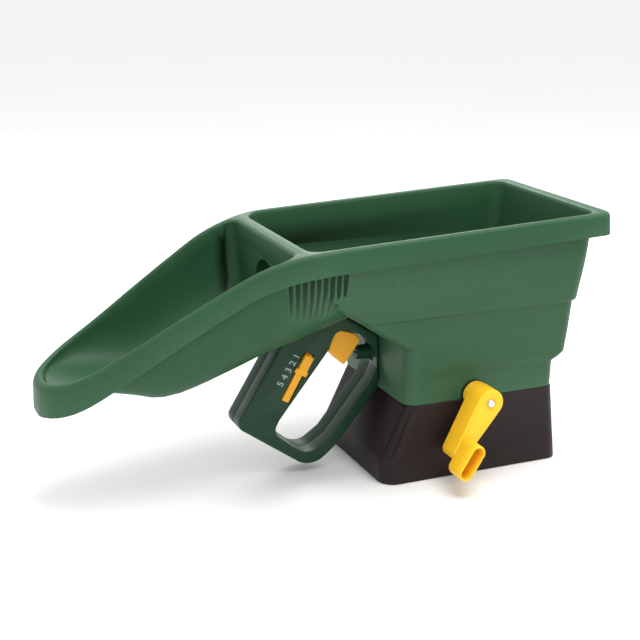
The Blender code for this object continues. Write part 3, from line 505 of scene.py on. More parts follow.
hopperPlan = {"wall": 2.4, "ledge": 8.0, "scoopLedge": 5.2, "edgeRound": 4.0,
              "rimLeft": -357.6, "rimRight": 117.5, "pocketRight": 104.0,
              "rimHalf": 88.0, "scoopHalf": 86.6, "rimCorner": 10.0, "rimTop": 223.7, "tilt": 2.3,
              "skirt": 19.0, "skirtAtTip": 5.0, "flare": 0.9, "lid": 2.6,
              "dividerLeft": -164.3, "dividerRight": -152.5, "pocketRound": 11.0,
              "tipCentre": -308.0, "tipLength": 50.0, "tipHalf": 51.5,
              "fluteStart": -174.0, "fluteEnd": -122.0, "flutes": 9, "fluteDepth": 1.6,
              "fluteLean": -0.5, "fluteLength": 46.0, "slope": 0.684, "portHeight": 162.0,
              "portRadius": 27.0, "sleeveRadius": 29.4, "taperStart": -155,
              "taperHalf": 86.0, "taper": 0.2207}
rimCurve = [(-358, 108.5), (-335, 118.0), (-300, 137.4), (-260, 162.0), (-225, 183.0),
            (-195, 199.5), (-165, 209.3), (-140, 213.378)]
bellyCurve = [(-356, 105.5), (-335, 103.0), (-312, 101.0), (-285, 95.0), (-266, 89.8),
              (-245, 92.5), (-205, 107.5), (-180, 117.6), (-100, 144.0)]


def rimZ(x):
    p = hopperPlan
    if x > -140:
        return p["rimTop"] - (p["rimRight"] - x) * math.tan(math.radians(p["tilt"]))
    return curveThrough(rimCurve, x)


def bellyZ(x):
    return curveThrough(bellyCurve, x)


def rimHalfAt(x):
    p = hopperPlan
    if x > -110:
        return p["rimHalf"]
    return min(p["rimHalf"], p["taperHalf"] - p["taper"] * (p["taperStart"] - x))


quarterTurn = [math.pi / 2 * i / 8 for i in range(9)]
tipAngles = (89.2, 84, 78, 72, 65, 58, 50, 42, 34, 26, 18, 10)   # round the scoop's tip


def rimStations(inset):
    # x and half width along the rim's outline, moved in by the inset
    p = hopperPlan
    stations = []
    for angle in tipAngles:
        a = math.radians(angle)
        stations.append((p["tipCentre"] - (p["tipLength"] - inset) * math.sin(a),
                         (p["tipHalf"] - inset) * math.cos(a)))
    for x in [-300 + 7.5 * i for i in range(22)] + [-130, -110, -60, 0, 50]:
        stations.append((x, rimHalfAt(x) - inset))
    radius = p["rimCorner"] - inset * 0.5
    for a in quarterTurn:
        stations.append((p["rimRight"] - inset - radius + radius * math.sin(a),
                         p["rimHalf"] - inset - radius + radius * math.cos(a)))
    return stations


def stripBlock(name, rings):
    # closed solid from rings of (x, half width, z): sides, and ruled faces over top and bottom
    mesh = bmesh.new()
    rows = []
    for ring in rings:
        near = [mesh.verts.new((x * mm, -half * mm, z * mm)) for x, half, z in ring]
        far = [mesh.verts.new((x * mm, half * mm, z * mm)) for x, half, z in ring]
        rows.append((near, far))
    for (n0, f0), (n1, f1) in zip(rows, rows[1:]):
        for i in range(len(n0) - 1):
            mesh.faces.new((n0[i], n0[i + 1], n1[i + 1], n1[i]))
            mesh.faces.new((f0[i + 1], f0[i], f1[i], f1[i + 1]))
        mesh.faces.new((n0[-1], f0[-1], f1[-1], n1[-1]))
        mesh.faces.new((f0[0], n0[0], n1[0], f1[0]))
    for near, far in (rows[0], rows[-1]):
        for i in range(len(near) - 1):
            mesh.faces.new((near[i], near[i + 1], far[i + 1], far[i]))
    return meshPiece(name, mesh)


def sectionBlock(name, sections):
    # closed solid from closed sections of equal count, capped at both ends
    mesh = bmesh.new()
    rows = [[mesh.verts.new(Vector(point) * mm) for point in section] for section in sections]
    for a, b in zip(rows, rows[1:]):
        for i in range(len(a)):
            j = (i + 1) % len(a)
            mesh.faces.new((a[i], a[j], b[j], b[i]))
    mesh.faces.new(rows[0])
    mesh.faces.new(list(reversed(rows[-1])))
    return meshPiece(name, mesh)


def addObject(name, data):
    piece = bpy.data.objects.new(name, data)
    bpy.context.scene.collection.objects.link(piece)
    return piece


def meshPiece(name, mesh):
    bmesh.ops.recalc_face_normals(mesh, faces=mesh.faces)
    data = bpy.data.meshes.new(name)
    mesh.to_mesh(data)
    mesh.free()
    return addObject(name, data)


def boxRing(x0, x1, half, radius, z, steps=8):
    # a rounded rectangle; radius may be (rear, front)
    rear, front = radius if isinstance(radius, tuple) else (radius, radius)
    ring = []
    for cx, cy, start, r in ((x1 - front, half - front, 0, front),
                             (x0 + rear, half - rear, 90, rear),
                             (x0 + rear, rear - half, 180, rear),
                             (x1 - front, front - half, 270, front)):
        for i in range(steps + 1):
            a = math.radians(start + 90 * i / steps)
            x, y = cx + r * math.cos(a), cy + r * math.sin(a)
            ring.append((x, y, z(x) if callable(z) else z))
    return ring


def roundLevels(levels, reach, steps=4):
    # softens the bends in a list of levels, each (z, x0, x1, half, rear and front radius)
    levels = [level[:4] + (level[4] if isinstance(level[4], tuple) else (level[4],) * 2)
              for level in levels]
    soft = [levels[0]]
    for before, level, after in zip(levels, levels[1:], levels[2:]):
        def toward(other):
            span = max(abs(other[0] - level[0]), abs(other[3] - level[3]), 0.01)
            share = min(reach / span, 0.45)
            return [a + (b - a) * share for a, b in zip(level, other)]
        first, last = toward(before), toward(after)
        for s in range(steps + 1):
            t = s / steps
            soft.append([(1 - t)**2 * a + 2 * t * (1 - t) * b + t * t * c
                         for a, b, c in zip(first, level, last)])
    return soft + [levels[-1]]


def ledgeAt(x):
    # the rim's flat top narrows along the scoop's sides
    p = hopperPlan
    narrow = p["ledge"] - p["scoopLedge"]
    if x < -290:                # widens again towards the tip
        return p["ledge"] - narrow * min(max((x + 335) / 45, 0), 1)
    return p["scoopLedge"] + narrow * min(max((x + 205) / 50, 0), 1)


def troughHalf(x):
    p = hopperPlan
    inset = ledgeAt(x) - p["wall"]
    if x < p["tipCentre"]:
        share = (p["tipCentre"] - x) / (p["tipLength"] - p["ledge"] + p["wall"])
        return (p["tipHalf"] - inset) * math.sqrt(max(1 - share**2, 0.0))
    return min(rimHalfAt(x), p["scoopHalf"]) - inset


troughShape = [1, 0.9975, 0.992, 0.98, 0.96, 0.93, 0.89, 0.84, 0.78, 0.70, 0.60, 0.48, 0.34, 0.18,
               0.0]


def troughSideAt(x, z):
    # half width of the trough's outside at height z
    depth = max(rimZ(x) - bellyZ(x), 1.0)
    share = min(max((rimZ(x) - z) / depth, 0.0), 1.0)
    return troughHalf(x) * (1 - share**3) ** (1 / 3)


def fluteCutter(side):
    # rounded fingers that follow the outside of the wall, deepest under the rim
    p = hopperPlan
    cutter = None
    for i in range(p["flutes"]):
        share = (i + 0.5) / p["flutes"]
        x = p["fluteStart"] + (p["fluteEnd"] - p["fluteStart"]) * share
        top = rimZ(x) - p["skirt"] + 3
        length = p["fluteLength"] * (0.72 + 0.28 * math.sin(math.pi * share))
        rings = []
        for step in range(13):
            down = step / 12
            z = top - length * down
            radius = 2.2 - 0.8 * down
            centre = troughSideAt(x, z) - p["fluteDepth"] * (1 - down**1.6) + 0.1 + radius
            leaned = x + p["fluteLean"] * (i + 0.5 - p["flutes"] / 2) * down
            rings.append([(leaned + radius * math.cos(math.radians(30 * k)),
                           side * (centre + radius * math.sin(math.radians(30 * k))), z)
                          for k in range(12)])
        finger = ringBlock("flute", rings)
        cutter = combine(cutter, finger) if cutter else finger
    return cutter


# painted shade: how far a point sinks into a flute, from 0 to 1, used to darken the groove
def fluteShade(x, y, z):
    p = hopperPlan
    if not p["fluteStart"] - 3 < x < p["fluteEnd"] + 3 or not 20 < z < rimZ(x) - 12:
        return 0.0
    sunk = troughSideAt(x, z) - abs(y)
    return min(max(sunk / p["fluteDepth"], 0.0), 1.0) if 0.15 < sunk < 3 else 0.0


def troughSection(x, inset, top, squeeze=0.0):
    half = max(troughHalf(x) - inset - squeeze, 0.8)
    bottom = bellyZ(x) + inset + squeeze
    depth = max(rimZ(x) - bottom, 1.0)
    side = [(half, top)]
    for share in troughShape:
        y, z = half * share, rimZ(x) - depth * (1 - share**3) ** (1 / 3)
        if z < top - 0.2:
            side.append((y, z))
    while len(side) < len(troughShape):
        side.insert(1, ((side[0][0] + side[1][0]) / 2, (side[0][1] + side[1][1]) / 2))
    return [(x, y, z) for y, z in side] + [(x, -y, z) for y, z in reversed(side[:-1])]


def makeRim():
    p = hopperPlan
    rounding = [(0.0, -p["edgeRound"]), (0.3, -2.4), (1.1, -1.1), (2.3, -0.35), (3.8, 0.0)]
    rings = []
    for inset, drop in [(-p["flare"], None)] + rounding:
        ring = []
        for x, half in rimStations(inset):
            skirt = p["skirt"] + p["skirtAtTip"] * min(max((-200 - x) / 150, 0), 1)
            ring.append((min(max(x, p["rimLeft"]), p["rimRight"] - 0.05), half,
                         rimZ(x) + (-skirt if drop is None else drop)))
        rings.append(ring)
    rim = stripBlock("hopperShell", rings)
    inner = []
    for drop in (-34.0, -p["lid"]):
        inner.append([(x, half, rimZ(x) + drop) for x, half in rimStations(p["wall"])])
    return cutAway(rim, stripBlock("underRim", inner))


def makeBody():
    low = (12, 10)
    levels = roundLevels([
        (68.0, -63, 80.8, 66.0, low), (91.0, -64, 81.0, 67.0, low),
        (94.0, -64.1, 87.0, 67.6, low), (98.0, -64.3, 92.0, 68.4, low),
        (117.0, -64.5, 93.0, 71.0, low), (146.0, -106.9, 94.2, 74.0, low),
        (147.4, -108.9, 96.6, 78.2, 13), (174.0, -147.8, 101.2, 79.8, 13),
        (182.0, -151.5, 102.4, 80.3, 13), (190.0, -152.5, 103.2, 80.8, 13)], 1.3)
    rings = [boxRing(x0, x1, half, (r0, r1), z) for z, x0, x1, half, r0, r1 in levels]
    p = hopperPlan
    rings.append(boxRing(-155.0, p["pocketRight"] + p["wall"],
                         p["rimHalf"] + p["wall"] - p["ledge"], 14, lambda x: rimZ(x) - 1.0))
    return ringBlock("hopperBody", rings)


def makeScoop():
    xs = [-352, -349, -346, -342, -336, -330, -323, -315, -308, -300, -290, -280, -271, -262,
          -250, -238, -225, -212, -200, -190, -181, -174]
    xs += [-172 + 5 * i for i in range(11)] + [-111, -102]
    return sectionBlock("scoopBody", [troughSection(x, 0.0, rimZ(x) - 1.0) for x in xs])


def hopperSpace():
    p = hopperPlan
    def rear(z):
        return -34.0 - (z - 98.0) / p["slope"]
    levels = roundLevels([
        (98.0, rear(98), 86.5, 63.5, (9, 8)), (101.0, rear(101), 89.4, 66.4, (10, 8)),
        (117.0, rear(117), 90.5, 68.5, (10, 8)), (149.0, rear(149), 91.7, 71.8, (10, 8)),
        (150.4, rear(150.4), 94.2, 75.9, 11), (172.0, rear(172), 98.3, 77.3, 11),
        (181.0, -149.6, 99.8, 77.8, (13, 11)), (203.0, -151.4, 102.8, 79.0, (15, 11))], 1.6)
    rings = [boxRing(x0, x1, half, (r0, r1), z) for z, x0, x1, half, r0, r1 in levels]
    right, half = p["pocketRight"], p["rimHalf"] - p["ledge"]
    for out, drop in ((0.0, -3.6), (0.35, -1.7), (1.2, -0.5), (2.9, 0.02), (4.0, 0.6),
                      (4.0, 20.0)):
        rings.append(boxRing(p["dividerRight"] - out, right + out, half + out,
                             (16 + out, 11 + out), lambda x: rimZ(x) + drop))
    return ringBlock("hopperSpace", rings)


def scoopSpace():
    p = hopperPlan
    back = p["dividerLeft"]
    xs = [-349.3, -348, -346, -343, -339, -334, -328, -321, -314, -308, -300, -290, -280, -271,
          -262, -250, -238, -225, -212, -200, -190, -184]
    sections = [troughSection(x, p["wall"], rimZ(x) - 2.0) for x in xs]
    r = p["pocketRound"]
    for a in quarterTurn:
        x = back - r + r * math.sin(a)
        section = troughSection(x, p["wall"], rimZ(x) - 2.0, squeeze=r * (1 - math.cos(a)))
        low, high = min(q[2] for q in section), rimZ(x)
        lean = 3.5 * math.sin(a)
        sections.append([(q[0] + lean * (high - q[2]) / (high - low), q[1], q[2])
                         for q in section])
    return sectionBlock("scoopSpace", sections)


def scoopLip():
    # opens the scoop's mouth with a rounded lip all the way round
    p = hopperPlan
    rings = []
    for out, drop in ((-0.6, -6.0), (0.0, -3.2), (0.35, -1.6), (1.2, -0.5), (2.9, 0.02),
                      (4.0, 0.6), (4.0, 25.0)):
        r = p["pocketRound"] + out
        back = p["dividerLeft"] + out
        ring = []
        for angle in tipAngles:
            a = math.radians(angle)
            x = p["tipCentre"] - (p["tipLength"] - p["ledge"] + out) * math.sin(a)
            ring.append((x, (p["tipHalf"] - ledgeAt(x) + out) * math.cos(a)))
        for x in [-300 + 7.5 * i for i in range(16)]:
            ring.append((x, min(rimHalfAt(x), p["scoopHalf"]) - ledgeAt(x) + out))
        side = min(rimHalfAt(back - r), p["scoopHalf"]) - ledgeAt(back - r) + out
        for a in quarterTurn:
            ring.append((back - r + r * math.sin(a), side - r + r * math.cos(a)))
        rings.append([(x, half, rimZ(x) + drop) for x, half in ring])
    return stripBlock("scoopLip", rings)


def dividerGap():
    def ceiling(x):
        slopeZ = 117.0 + (-64.5 - x) * hopperPlan["slope"]
        return min(203.0, slopeZ - 0.5) if x > -148 else 203.0 - max(x + 156, 0) * 3.8
    sections = []
    for x in (-161.0, -156.0, -150.0, -140.0, -130.0, -120.0, -112.0):
        half = troughHalf(x) - 3.6
        depth = rimZ(x) - bellyZ(x)
        low = rimZ(x) - depth * (1 - 0.6**3) ** (1 / 3)
        top = ceiling(x)
        side = []
        for i in range(5):
            z = top + (low - top) * i / 4
            side.append((half * (1 - ((rimZ(x) - z) / depth) ** 3) ** (1 / 3), z))
        side.append((side[-1][0], bellyZ(x) - 6.0))
        sections.append([(x, y, z) for y, z in side] + [(x, -y, z) for y, z in reversed(side)])
    return sectionBlock("dividerGap", sections)


def makeHopper():
    p = hopperPlan
    hopper = makeRim()
    combine(hopper, makeBody())
    combine(hopper, makeScoop())
    cutAway(hopper, dividerGap())
    plate = [(-164, bellyZ(-164)), (-140, bellyZ(-140)), (-103.5, bellyZ(-103.5)),
             (-103.5, bellyZ(-103.5) + 3), (-140, bellyZ(-140) + 3), (-164, bellyZ(-164) + 3)]
    combine(hopper, outlineBlock("plate", plate, -20, 20))
    z = p["portHeight"]
    combine(hopper, roundRod("sleeve", (-162, 0, z), (-135.4, 0, z), p["sleeveRadius"], 64))
    cutAway(hopper, hopperSpace(), scoopSpace(), scoopLip(),
            roundRod("port", (-180, 0, z), (-138, 0, z), p["portRadius"], 64))
    cutAway(hopper, fluteCutter(-1), fluteCutter(1))
    space = [boxRing(-60.6, 78.4, 63.6, (9.6, 7.6), z) for z in (60, 95.6)]
    cutAway(hopper, ringBlock("gearSpace", space))
    wedge = [(-60.6, 90), (-33, 90), (-33, 95.6), (-60.6, 114.4)]
    cutAway(hopper, outlineBlock("wedge", wedge, -60, 60))
    cutAway(hopper, roundRod("shaftHole", (0, 0, 80), (0, 0, 110), 5.2),
            outlineBlock("notch", archOutline(11.6, 60), -80, -58),
            outlineBlock("outlet", [(27, 85), (35, 85), (35, 105), (27, 105)], 9.5, 35.5))
    return hopper


hopper = makeHopper()
finishPiece(hopper, "frame", "hopperGreen", "hopper_green", "hopper", angle=32)
# the flutes get painted shade, darker the deeper each point sinks
markRecessShade(hopper, fluteShade)
print("hopper made:", len(hopper.data.polygons), "faces")


# base: housing with its ramp, bearing tab and throw opening

basePlan = {"rear": -84.0, "front": 87.0, "half": 69.0, "seam": 67.6, "rampFoot": 22.0,
            "neckRear": -62.0, "neckFront": 81.5, "neckHalf": 66.4, "wall": 2.4,
            "footRound": 1.2, "foldAngles": (196, 240), "foldHeight": 0.95}


def baseRing(z, inset, radius, steps=10):
    p = basePlan
    share = z / p["seam"]
    climb = max(z - p["rampFoot"], 0) / (p["seam"] - p["rampFoot"])
    rear = p["rear"] + (p["neckRear"] - p["rear"]) * climb
    front = p["front"] + (p["neckFront"] - p["front"]) * share
    half = p["half"] + (p["neckHalf"] - p["half"]) * share
    return boxRing(rear + inset, front - inset, half - inset, radius, z, steps)


def foldLine(angle):
    # a low raised fold that climbs the near rear corner of the ramp
    p = basePlan
    a = math.radians(angle)
    rings = []
    for i in range(9):
        z = p["rampFoot"] + 1.5 + (p["seam"] - p["rampFoot"] - 4) * i / 8
        climb = (z - p["rampFoot"]) / (p["seam"] - p["rampFoot"])
        radius = 14 - 2 * climb
        cx = p["rear"] + (p["neckRear"] - p["rear"]) * climb + radius
        cy = -(p["half"] + (p["neckHalf"] - p["half"]) * z / p["seam"]) + radius
        out = radius + p["foldHeight"] * (math.sin(math.pi * (0.1 + 0.8 * i / 8)))
        ring = []
        for side, depth in ((-0.9, -1.2), (-0.45, 0.0), (0.0, 0.25), (0.45, 0.0), (0.9, -1.2)):
            r = out + depth
            ring.append((cx + r * math.cos(a) - side * math.sin(a),
                         cy + r * math.sin(a) + side * math.cos(a), z))
        rings.append(ring)
    return ringBlock("fold", rings)


def makeBase():
    p = basePlan
    low, top = (14, 10), (12, 10)
    collar, mouth = (-60.2, 78.0, 63.2, (9.2, 7.2)), (-58.2, 76.0, 61.2, (7.2, 5.2))
    rings = [baseRing(0, p["footRound"], low), baseRing(0.35, 0.4, low),
             baseRing(p["footRound"], 0, low), baseRing(p["rampFoot"] - 1.2, 0, low),
             baseRing(p["rampFoot"], 0.12, low), baseRing(p["rampFoot"] + 1.4, 0.05, low),
             baseRing(p["seam"] - 0.5, 0, top), baseRing(p["seam"], 0.5, top),
             boxRing(*collar, p["seam"], 10), boxRing(*collar, 73.5, 10)]
    housing = ringBlock("baseShell", rings)
    inner = [baseRing(-5, p["wall"], (11.6, 7.6)), baseRing(22, p["wall"], (11.6, 7.6)),
             baseRing(64.6, 3.0, (9.6, 7.4)), boxRing(*mouth, p["seam"], 10),
             boxRing(*mouth, 80, 10)]
    cutAway(housing, ringBlock("inside", inner))
    tab = outlineBlock("tab", archOutline(11, 56), -66.3, -61.2)
    bevelEdges(tab, 0.7, 3, lambda e: edgeTurn(e) > 40 and
               all(v.co.y < -66 * mm for v in e.verts))
    combine(housing, tab)
    opening = outlineBlock("opening", [(-46, 5), (46, 5), (46, 26), (-46, 26)], 0, 10)
    for vertex in opening.data.vertices:
        x, y, z = vertex.co
        vertex.co = (70 * mm + y * 3, x, z)
    turnOutwards(opening)
    bevelEdges(opening, 3, 5, lambda e: abs(e.verts[0].co.x - e.verts[1].co.x) > 5 * mm)
    cutAway(housing, opening, roundRod("bushBore", (0, -75, axleHeight), (0, -55, axleHeight), 6.6))
    for angle in p["foldAngles"]:
        combine(housing, foldLine(angle))
    return housing


base = makeBase()
finishPiece(base, "frame", "baseBrown", "base_brown", "base_housing", angle=38)
print("base made:", len(base.data.polygons), "faces")


# handle: two shells round a finger hole, with the setting slot in the near one

handlePlan = {"half": 15.5, "wall": 2.6, "edgeRound": 2.4, "holeRound": 1.5, "seamRound": 0.4,
              "gap": 0.7, "seam": 0.15, "screws": ((-135.0, 124.5), (-183.0, 58.5),
                                                   (-162.5, 31.5), (-80.5, 61.5)),
              "slotTop": (-131.0, 106.0), "slotEnd": (-152.7, 68.0), "slotHalf": 4.6,
              "rodHeight": 98.5}


def slotFrame():
    (x0, z0), (x1, z1) = handlePlan["slotTop"], handlePlan["slotEnd"]
    length = math.hypot(x1 - x0, z1 - z0)
    return length, (x1 - x0) / length, (z1 - z0) / length


def alongSlot(near, far, half):
    _, ux, uz = slotFrame()
    x0, z0 = handlePlan["slotTop"]
    return [(x0 + ux * s - uz * t, z0 + uz * s + ux * t)
            for s, t in ((near, -half), (far, -half), (far, half), (near, half))]


def handleOutline():
    gap = handlePlan["gap"]
    corner = [(-149.6, bellyZ(-149.6) - gap), (-127, bellyZ(-127) - gap),
              (-103.9, bellyZ(-103.9) - 1.2),
              (-65.6, 117.0 + 1.1 * hopperPlan["slope"] - 1.4), (-64.9, 73.0), (-67.0, 66.5),
              (-105.6, 20.6), (-128.0, 2.6), (-196.0, 51.0)]
    return roundCorners(corner, {6: 30, 7: 21, 8: 8})


def handleHole():
    corner = [(-114.0, 107.0), (-104.5, 127.5), (-83.0, 119.5), (-67.4, 103.5), (-67.4, 88.0),
              (-72.7, 76.5), (-110.3, 30.3), (-132.0, 15.5), (-163.5, 41.5), (-157.5, 52.5)]
    return roundCorners(corner, {1: 9, 2: 6, 3: 8, 4: 8, 7: 17, 8: 9})


def makeHandleShell(name, side):
    p = handlePlan
    inner = p["half"] - p["wall"]
    shell = outlineBlock(name, handleOutline(), side * p["seam"], side * p["half"])

    def roundEdgesAt(depth, width, segments):
        bevelEdges(shell, width, segments, lambda e: edgeTurn(e) > 50 and
                   all(abs(v.co.y - side * depth * mm) < 1e-5 for v in e.verts))

    roundEdgesAt(p["half"], p["edgeRound"], 5)
    cutAway(shell, outlineBlock("fingerHole", handleHole(), -20, 20))
    roundEdgesAt(p["half"], p["holeRound"], 4)
    roundEdgesAt(p["seam"], p["seamRound"], 2)
    blockWindow = [(-121, 104), (-119, 117), (-113.5, 126), (-99.5, 127), (-93, 122),
                   (-104, 110)]
    neckWindow = [(-107, 117), (-104.5, 135), (-96, 135), (-91.5, 131.8), (-88, 126),
                  (-88, 115)]
    rodZ = p["rodHeight"]
    guideWindow = [(x, rodZ + z) for x, z in ((-75, -7.2), (-60, -7.2), (-60, 7.2), (-75, 7.2))]
    for outline, depth in ((blockWindow, inner), (neckWindow, 9.6), (guideWindow, 7.2)):
        cutAway(shell, outlineBlock("window", outline, -side, side * depth))
    if side < 0:
        length = slotFrame()[0]
        slot = outlineBlock("slot", alongSlot(-2.8, length, p["slotHalf"]), -20, -8)
        bevelEdges(slot, 1.2, 4, lambda e: abs(e.verts[0].co.y - e.verts[1].co.y) > 5 * mm)
        cutAway(shell, slot)
    else:
        for x, z in p["screws"]:
            cutAway(shell, roundRod("headBore", (x, 12.4, z), (x, 20, z), 3.3, 28))
    return shell


finishPiece(makeHandleShell("handleNear", -1), "frame", "handleGreen", "handle_green",
            "handle_near")
finishPiece(makeHandleShell("handleFar", 1), "frame", "handleGreen", "handle_green",
            "handle_far")
print("handle made")


# setting slide, its rail, and the numbers beside the slot

slidePlan = {"headHalf": 4.4, "headLength": 14.6, "pointerHalf": 6.0, "railHalf": 3.3,
             "digitSize": 8.4, "digitHeight": 0.22, "digitTop": (-141.4, 107.3),
             "digitEnd": (-156.2, 84.8), "face": -16.4, "legHalf": 4.2, "wayHalf": 3.6}


def makeSlide():
    p = slidePlan
    face = p["face"]
    head = outlineBlock("settingSlide", alongSlot(-1.0, p["headLength"], p["headHalf"]), -19.0,
                        face)
    pointer = outlineBlock("pointer", alongSlot(12.4, 17.0, p["pointerHalf"]), -18.4, face)
    for piece, width in ((head, 1.0), (pointer, 0.9)):
        bevelEdges(piece, width, 4, lambda e: edgeTurn(e) > 50 and
                   not all(v.co.y > (face - 0.1) * mm for v in e.verts))
    combine(head, pointer)
    combine(head, outlineBlock("legs", alongSlot(7.5, 15, p["legHalf"]), -17, -10.6))
    cutAway(head, outlineBlock("railWay", alongSlot(-20, 60, p["wayHalf"]), face, -11.8))
    return head


def makeRail():
    p = slidePlan
    length = slotFrame()[0]
    rail = outlineBlock("settingRail", alongSlot(-2.2, length - 0.6, p["railHalf"]), -16.0, -12.2)
    bevelEdges(rail, 0.6, 3, lambda e: edgeTurn(e) > 50)
    for near, far in ((-6.5, -0.8), (length - 3.5, length + 2.6)):
        combine(rail, outlineBlock("tab", alongSlot(near, far, 2.8), -12.5, -11.3))
    return rail


def makeDigit(text, x, z):
    deselectAll()
    bpy.ops.object.text_add(location=(0, 0, 0))
    digit = bpy.context.object
    digit.data.body = text
    digit.data.align_x = "CENTER"
    digit.data.align_y = "CENTER"
    digit.data.size = slidePlan["digitSize"] * mm
    digit.data.extrude = slidePlan["digitHeight"] * mm
    digit.data.bevel_depth = 0.08 * mm
    pickOnly(digit)
    bpy.ops.object.convert(target="MESH")
    digit = bpy.context.object
    digit.name = "digit" + text
    _, ux, uz = slotFrame()
    for vertex in digit.data.vertices:
        u, v, w = vertex.co
        vertex.co = (x * mm - u * ux + v * uz, -handlePlan["half"] * mm - w + 0.05 * mm,
                     z * mm - u * uz - v * ux)
    mergeClose(digit, 0.002)
    return digit


finishPiece(makeSlide(), "setting", "amberPlastic", "amber", "setting_slide")
finishPiece(makeRail(), "frame", "amberPlastic", "amber", "setting_rail")
for i, text in enumerate("12345"):
    (x0, z0), (x1, z1) = slidePlan["digitTop"], slidePlan["digitEnd"]
    digit = makeDigit(text, x0 + (x1 - x0) * i / 4, z0 + (z1 - z0) * i / 4)
    finishPiece(digit, "frame", "paleInk", "handle_green")
print("slide, rail and numbers made")


# trigger

triggerPlan = {"pivot": (-97.0, 130.5), "half": 12.4, "edgeRound": 1.2, "neckRadius": 3.5,
               "pinRadius": 1.8}


def makeTrigger():
    p = triggerPlan
    px, pz = p["pivot"]
    outline = roundCorners([(-111.0, 107.3), (-106.3, 122.5), (-99.5, 124.2), (-87.5, 120.2),
                            (-81.0, 114.0), (-96.6, 92.1)],
                           {0: 2.5, 1: 5, 2: 4, 3: 3, 4: 2.5, 5: 2.5}, 6)
    trigger = outlineBlock("triggerBlock", outline, -p["half"], p["half"])
    bevelEdges(trigger, p["edgeRound"], 4, lambda e: edgeTurn(e) > 60)
    r = p["neckRadius"]
    neck = [(-104.6, 116)] + [(px + r * math.cos(math.radians(a)),
                               pz + r * math.sin(math.radians(a)))
                              for a in range(170, -11, -15)] + [(-90, 116)]
    combine(trigger, outlineBlock("neck", neck, -6, 6))
    rodZ = handlePlan["rodHeight"]
    rodSlot = [(-100.4, rodZ - 3.2), (-100.4, rodZ + 3.2), (-80, rodZ + 3.2), (-80, rodZ - 3.2)]
    cutAway(trigger, roundRod("pinBore", (px, -20, pz), (px, 20, pz), p["pinRadius"], 24),
            outlineBlock("rodSlot", rodSlot, -4.8, 4.8))
    return trigger


finishPiece(makeTrigger(), "trigger", "amberPlastic", "amber", "trigger")
print("trigger made")


# crank: deep tapered arm with a hollow knob

crankPlan = {"end": (-27.0, 30.6), "hub": 12.0, "tip": 6.4, "front": -96.5,
             "back": -75.0, "edgeRound": 1.5, "knobLong": 16.4, "knobWide": 6.9,
             "hollowLong": 14.3, "hollowWide": 4.8, "knobFront": -117.0}


def crankOutline():
    p = crankPlan
    dx, dz = p["end"][0], p["end"][1] - axleHeight
    heading = math.atan2(dz, dx)
    spread = math.acos((p["hub"] - p["tip"]) / math.hypot(dx, dz))
    points = []
    for i in range(41):
        a = heading + spread + (2 * math.pi - 2 * spread) * i / 40
        points.append((p["hub"] * math.cos(a), axleHeight + p["hub"] * math.sin(a)))
    for i in range(21):
        a = heading - spread + 2 * spread * i / 20
        points.append((p["end"][0] + p["tip"] * math.cos(a), p["end"][1] + p["tip"] * math.sin(a)))
    return points


def oblong(halfLong, halfWide, steps=14):
    p = crankPlan
    heading = math.atan2(p["end"][1] - axleHeight, p["end"][0])
    points = []
    for side in (0, math.pi):
        cx = p["end"][0] + (halfLong - halfWide) * math.cos(heading + side)
        cz = p["end"][1] + (halfLong - halfWide) * math.sin(heading + side)
        for i in range(steps + 1):
            a = heading + side - math.pi / 2 + math.pi * i / steps
            points.append((cx + halfWide * math.cos(a), cz + halfWide * math.sin(a)))
    return points


def makeCrankArm():
    p = crankPlan
    arm = outlineBlock("crankArm", crankOutline(), p["front"], p["back"])
    bevelEdges(arm, p["edgeRound"], 5, lambda e: edgeTurn(e) > 60)
    combine(arm, roundRod("hub", (0, p["back"] - 0.5, axleHeight), (0, -69.4, axleHeight), 11.8, 56,
                          11.4))
    kx, kz = p["end"]
    cutAway(arm, roundRod("shaftBore", (0, p["front"] + 2.4, axleHeight), (0, -60, axleHeight),
                          4.3),
            roundRod("screwBore", (0, -100, axleHeight), (0, -90, axleHeight), 2.2, 28),
            roundRod("dish", (0, p["front"] - 1, axleHeight), (0, p["front"] + 0.35, axleHeight),
                     5.2, 40),
            roundRod("pinBore", (kx, -100, kz), (kx, p["front"] + 10, kz), 2.9, 28))
    return arm


def makeKnob():
    p = crankPlan
    long, wide = p["knobLong"], p["knobWide"]
    levels = [(p["front"] - 0.4, 0.9), (p["front"] - 0.9, 0.35), (p["front"] - 2.0, 0.0),
              (-108.0, 0.05), (p["knobFront"] + 1.6, 0.15), (p["knobFront"] + 0.5, 0.5),
              (p["knobFront"], 1.1)]
    knob = ringBlock("knobShell", [[(x, y, z) for x, z in oblong(long - d, wide - d)]
                                   for y, d in levels])
    hollow = ringBlock("hollow", [[(x, y, z) for x, z in
                                   oblong(p["hollowLong"] + d, p["hollowWide"] + d)]
                                  for y, d in ((-123, 0.7), (-117, 0.6), (-116.2, 0.1),
                                               (-109, -0.1), (-101.5, -0.4))])
    kx, kz = p["end"]
    cutAway(knob, hollow, roundRod("bore", (kx, -103, kz), (kx, -94, kz), 2.8, 28))
    return knob


finishPiece(makeCrankArm(), "crank", "crankYellow", "crank_yellow", "crank_arm")
finishPiece(makeKnob(), "knob", "crankYellow", "crank_yellow", "crank_knob")
print("crank made")


# camera, lights and floor

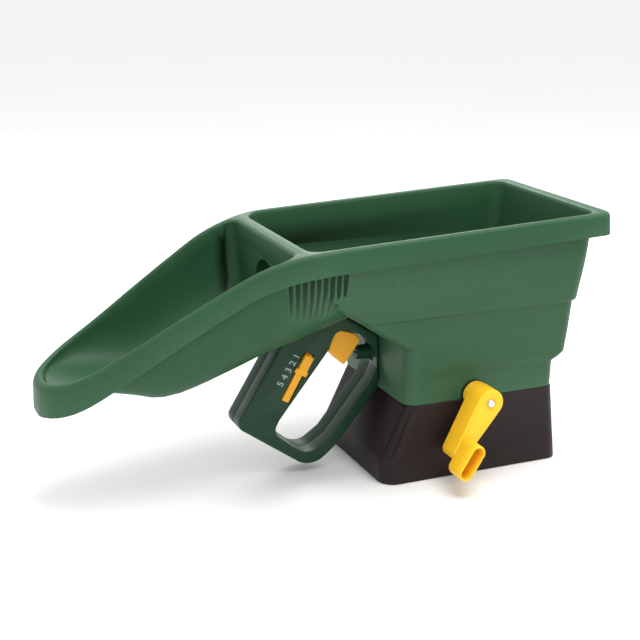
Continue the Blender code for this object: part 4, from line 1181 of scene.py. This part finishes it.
viewPlan = {"lens": 71.4, "azimuth": -22.75, "elevation": 16.75, "distance": 1.133,
            "across": -0.105, "up": 0.0177, "aim": (0, 0, 0.1)}
studioPlan = {"air": 0.95, "lights": (
    ("topLight", (0.1, -0.3, 1.5), (-0.1, 0, 0.1), 1.2, 19),
    ("backLight", (0.4, 1.3, 1.0), (-0.1, 0, 0.15), 1.0, 10))}


def placeCamera():
    v = viewPlan
    a, e = math.radians(v["azimuth"]), math.radians(v["elevation"])
    back = Vector((math.sin(a) * math.cos(e), -math.cos(a) * math.cos(e), math.sin(e)))
    right = Vector((math.cos(a), math.sin(a), 0))
    up = back.cross(right)
    spot = Vector(v["aim"]) + right * v["across"] + up * v["up"] + back * v["distance"]
    data = bpy.data.cameras.new("camera")
    data.lens = v["lens"]
    data.sensor_width = 36.0
    camera = addObject("camera", data)
    camera.location = spot
    camera.rotation_euler = back.to_track_quat("Z", "Y").to_euler()
    bpy.context.scene.camera = camera


def addLight(name, spot, aim, size, power):
    data = bpy.data.lights.new(name, "AREA")
    data.shape = "DISK"
    data.size = size
    data.energy = power
    light = addObject(name, data)
    light.location = spot
    light.rotation_euler = (Vector(spot) - Vector(aim)).to_track_quat("Z", "Y").to_euler()


def makeStudio():
    deselectAll()
    bpy.ops.mesh.primitive_plane_add(size=30, location=(0, 0, -0.0002))
    floor = bpy.context.object
    floor.name = "studioFloor"
    material, tree, shader = newMaterial("studioPaper")
    noise = noiseOn(tree, in_Scale=3.0)
    tree.links.new(mixColour(tree, noise.outputs["Fac"], (0.93, 0.93, 0.93, 1),
                             (0.96, 0.96, 0.96, 1)), shader.inputs["Base Color"])
    shader.inputs["Roughness"].default_value = 0.9
    floor.data.materials.append(material)
    world = bpy.data.worlds.new("studioAir")
    world.use_nodes = True
    air = world.node_tree.nodes["Background"]
    air.inputs["Color"].default_value = (1, 1, 1, 1)
    air.inputs["Strength"].default_value = studioPlan["air"]
    bpy.context.scene.world = world
    for light in studioPlan["lights"]:
        addLight(*light)
    bpy.context.scene.view_settings.view_transform = "Standard"


placeCamera()
makeStudio()
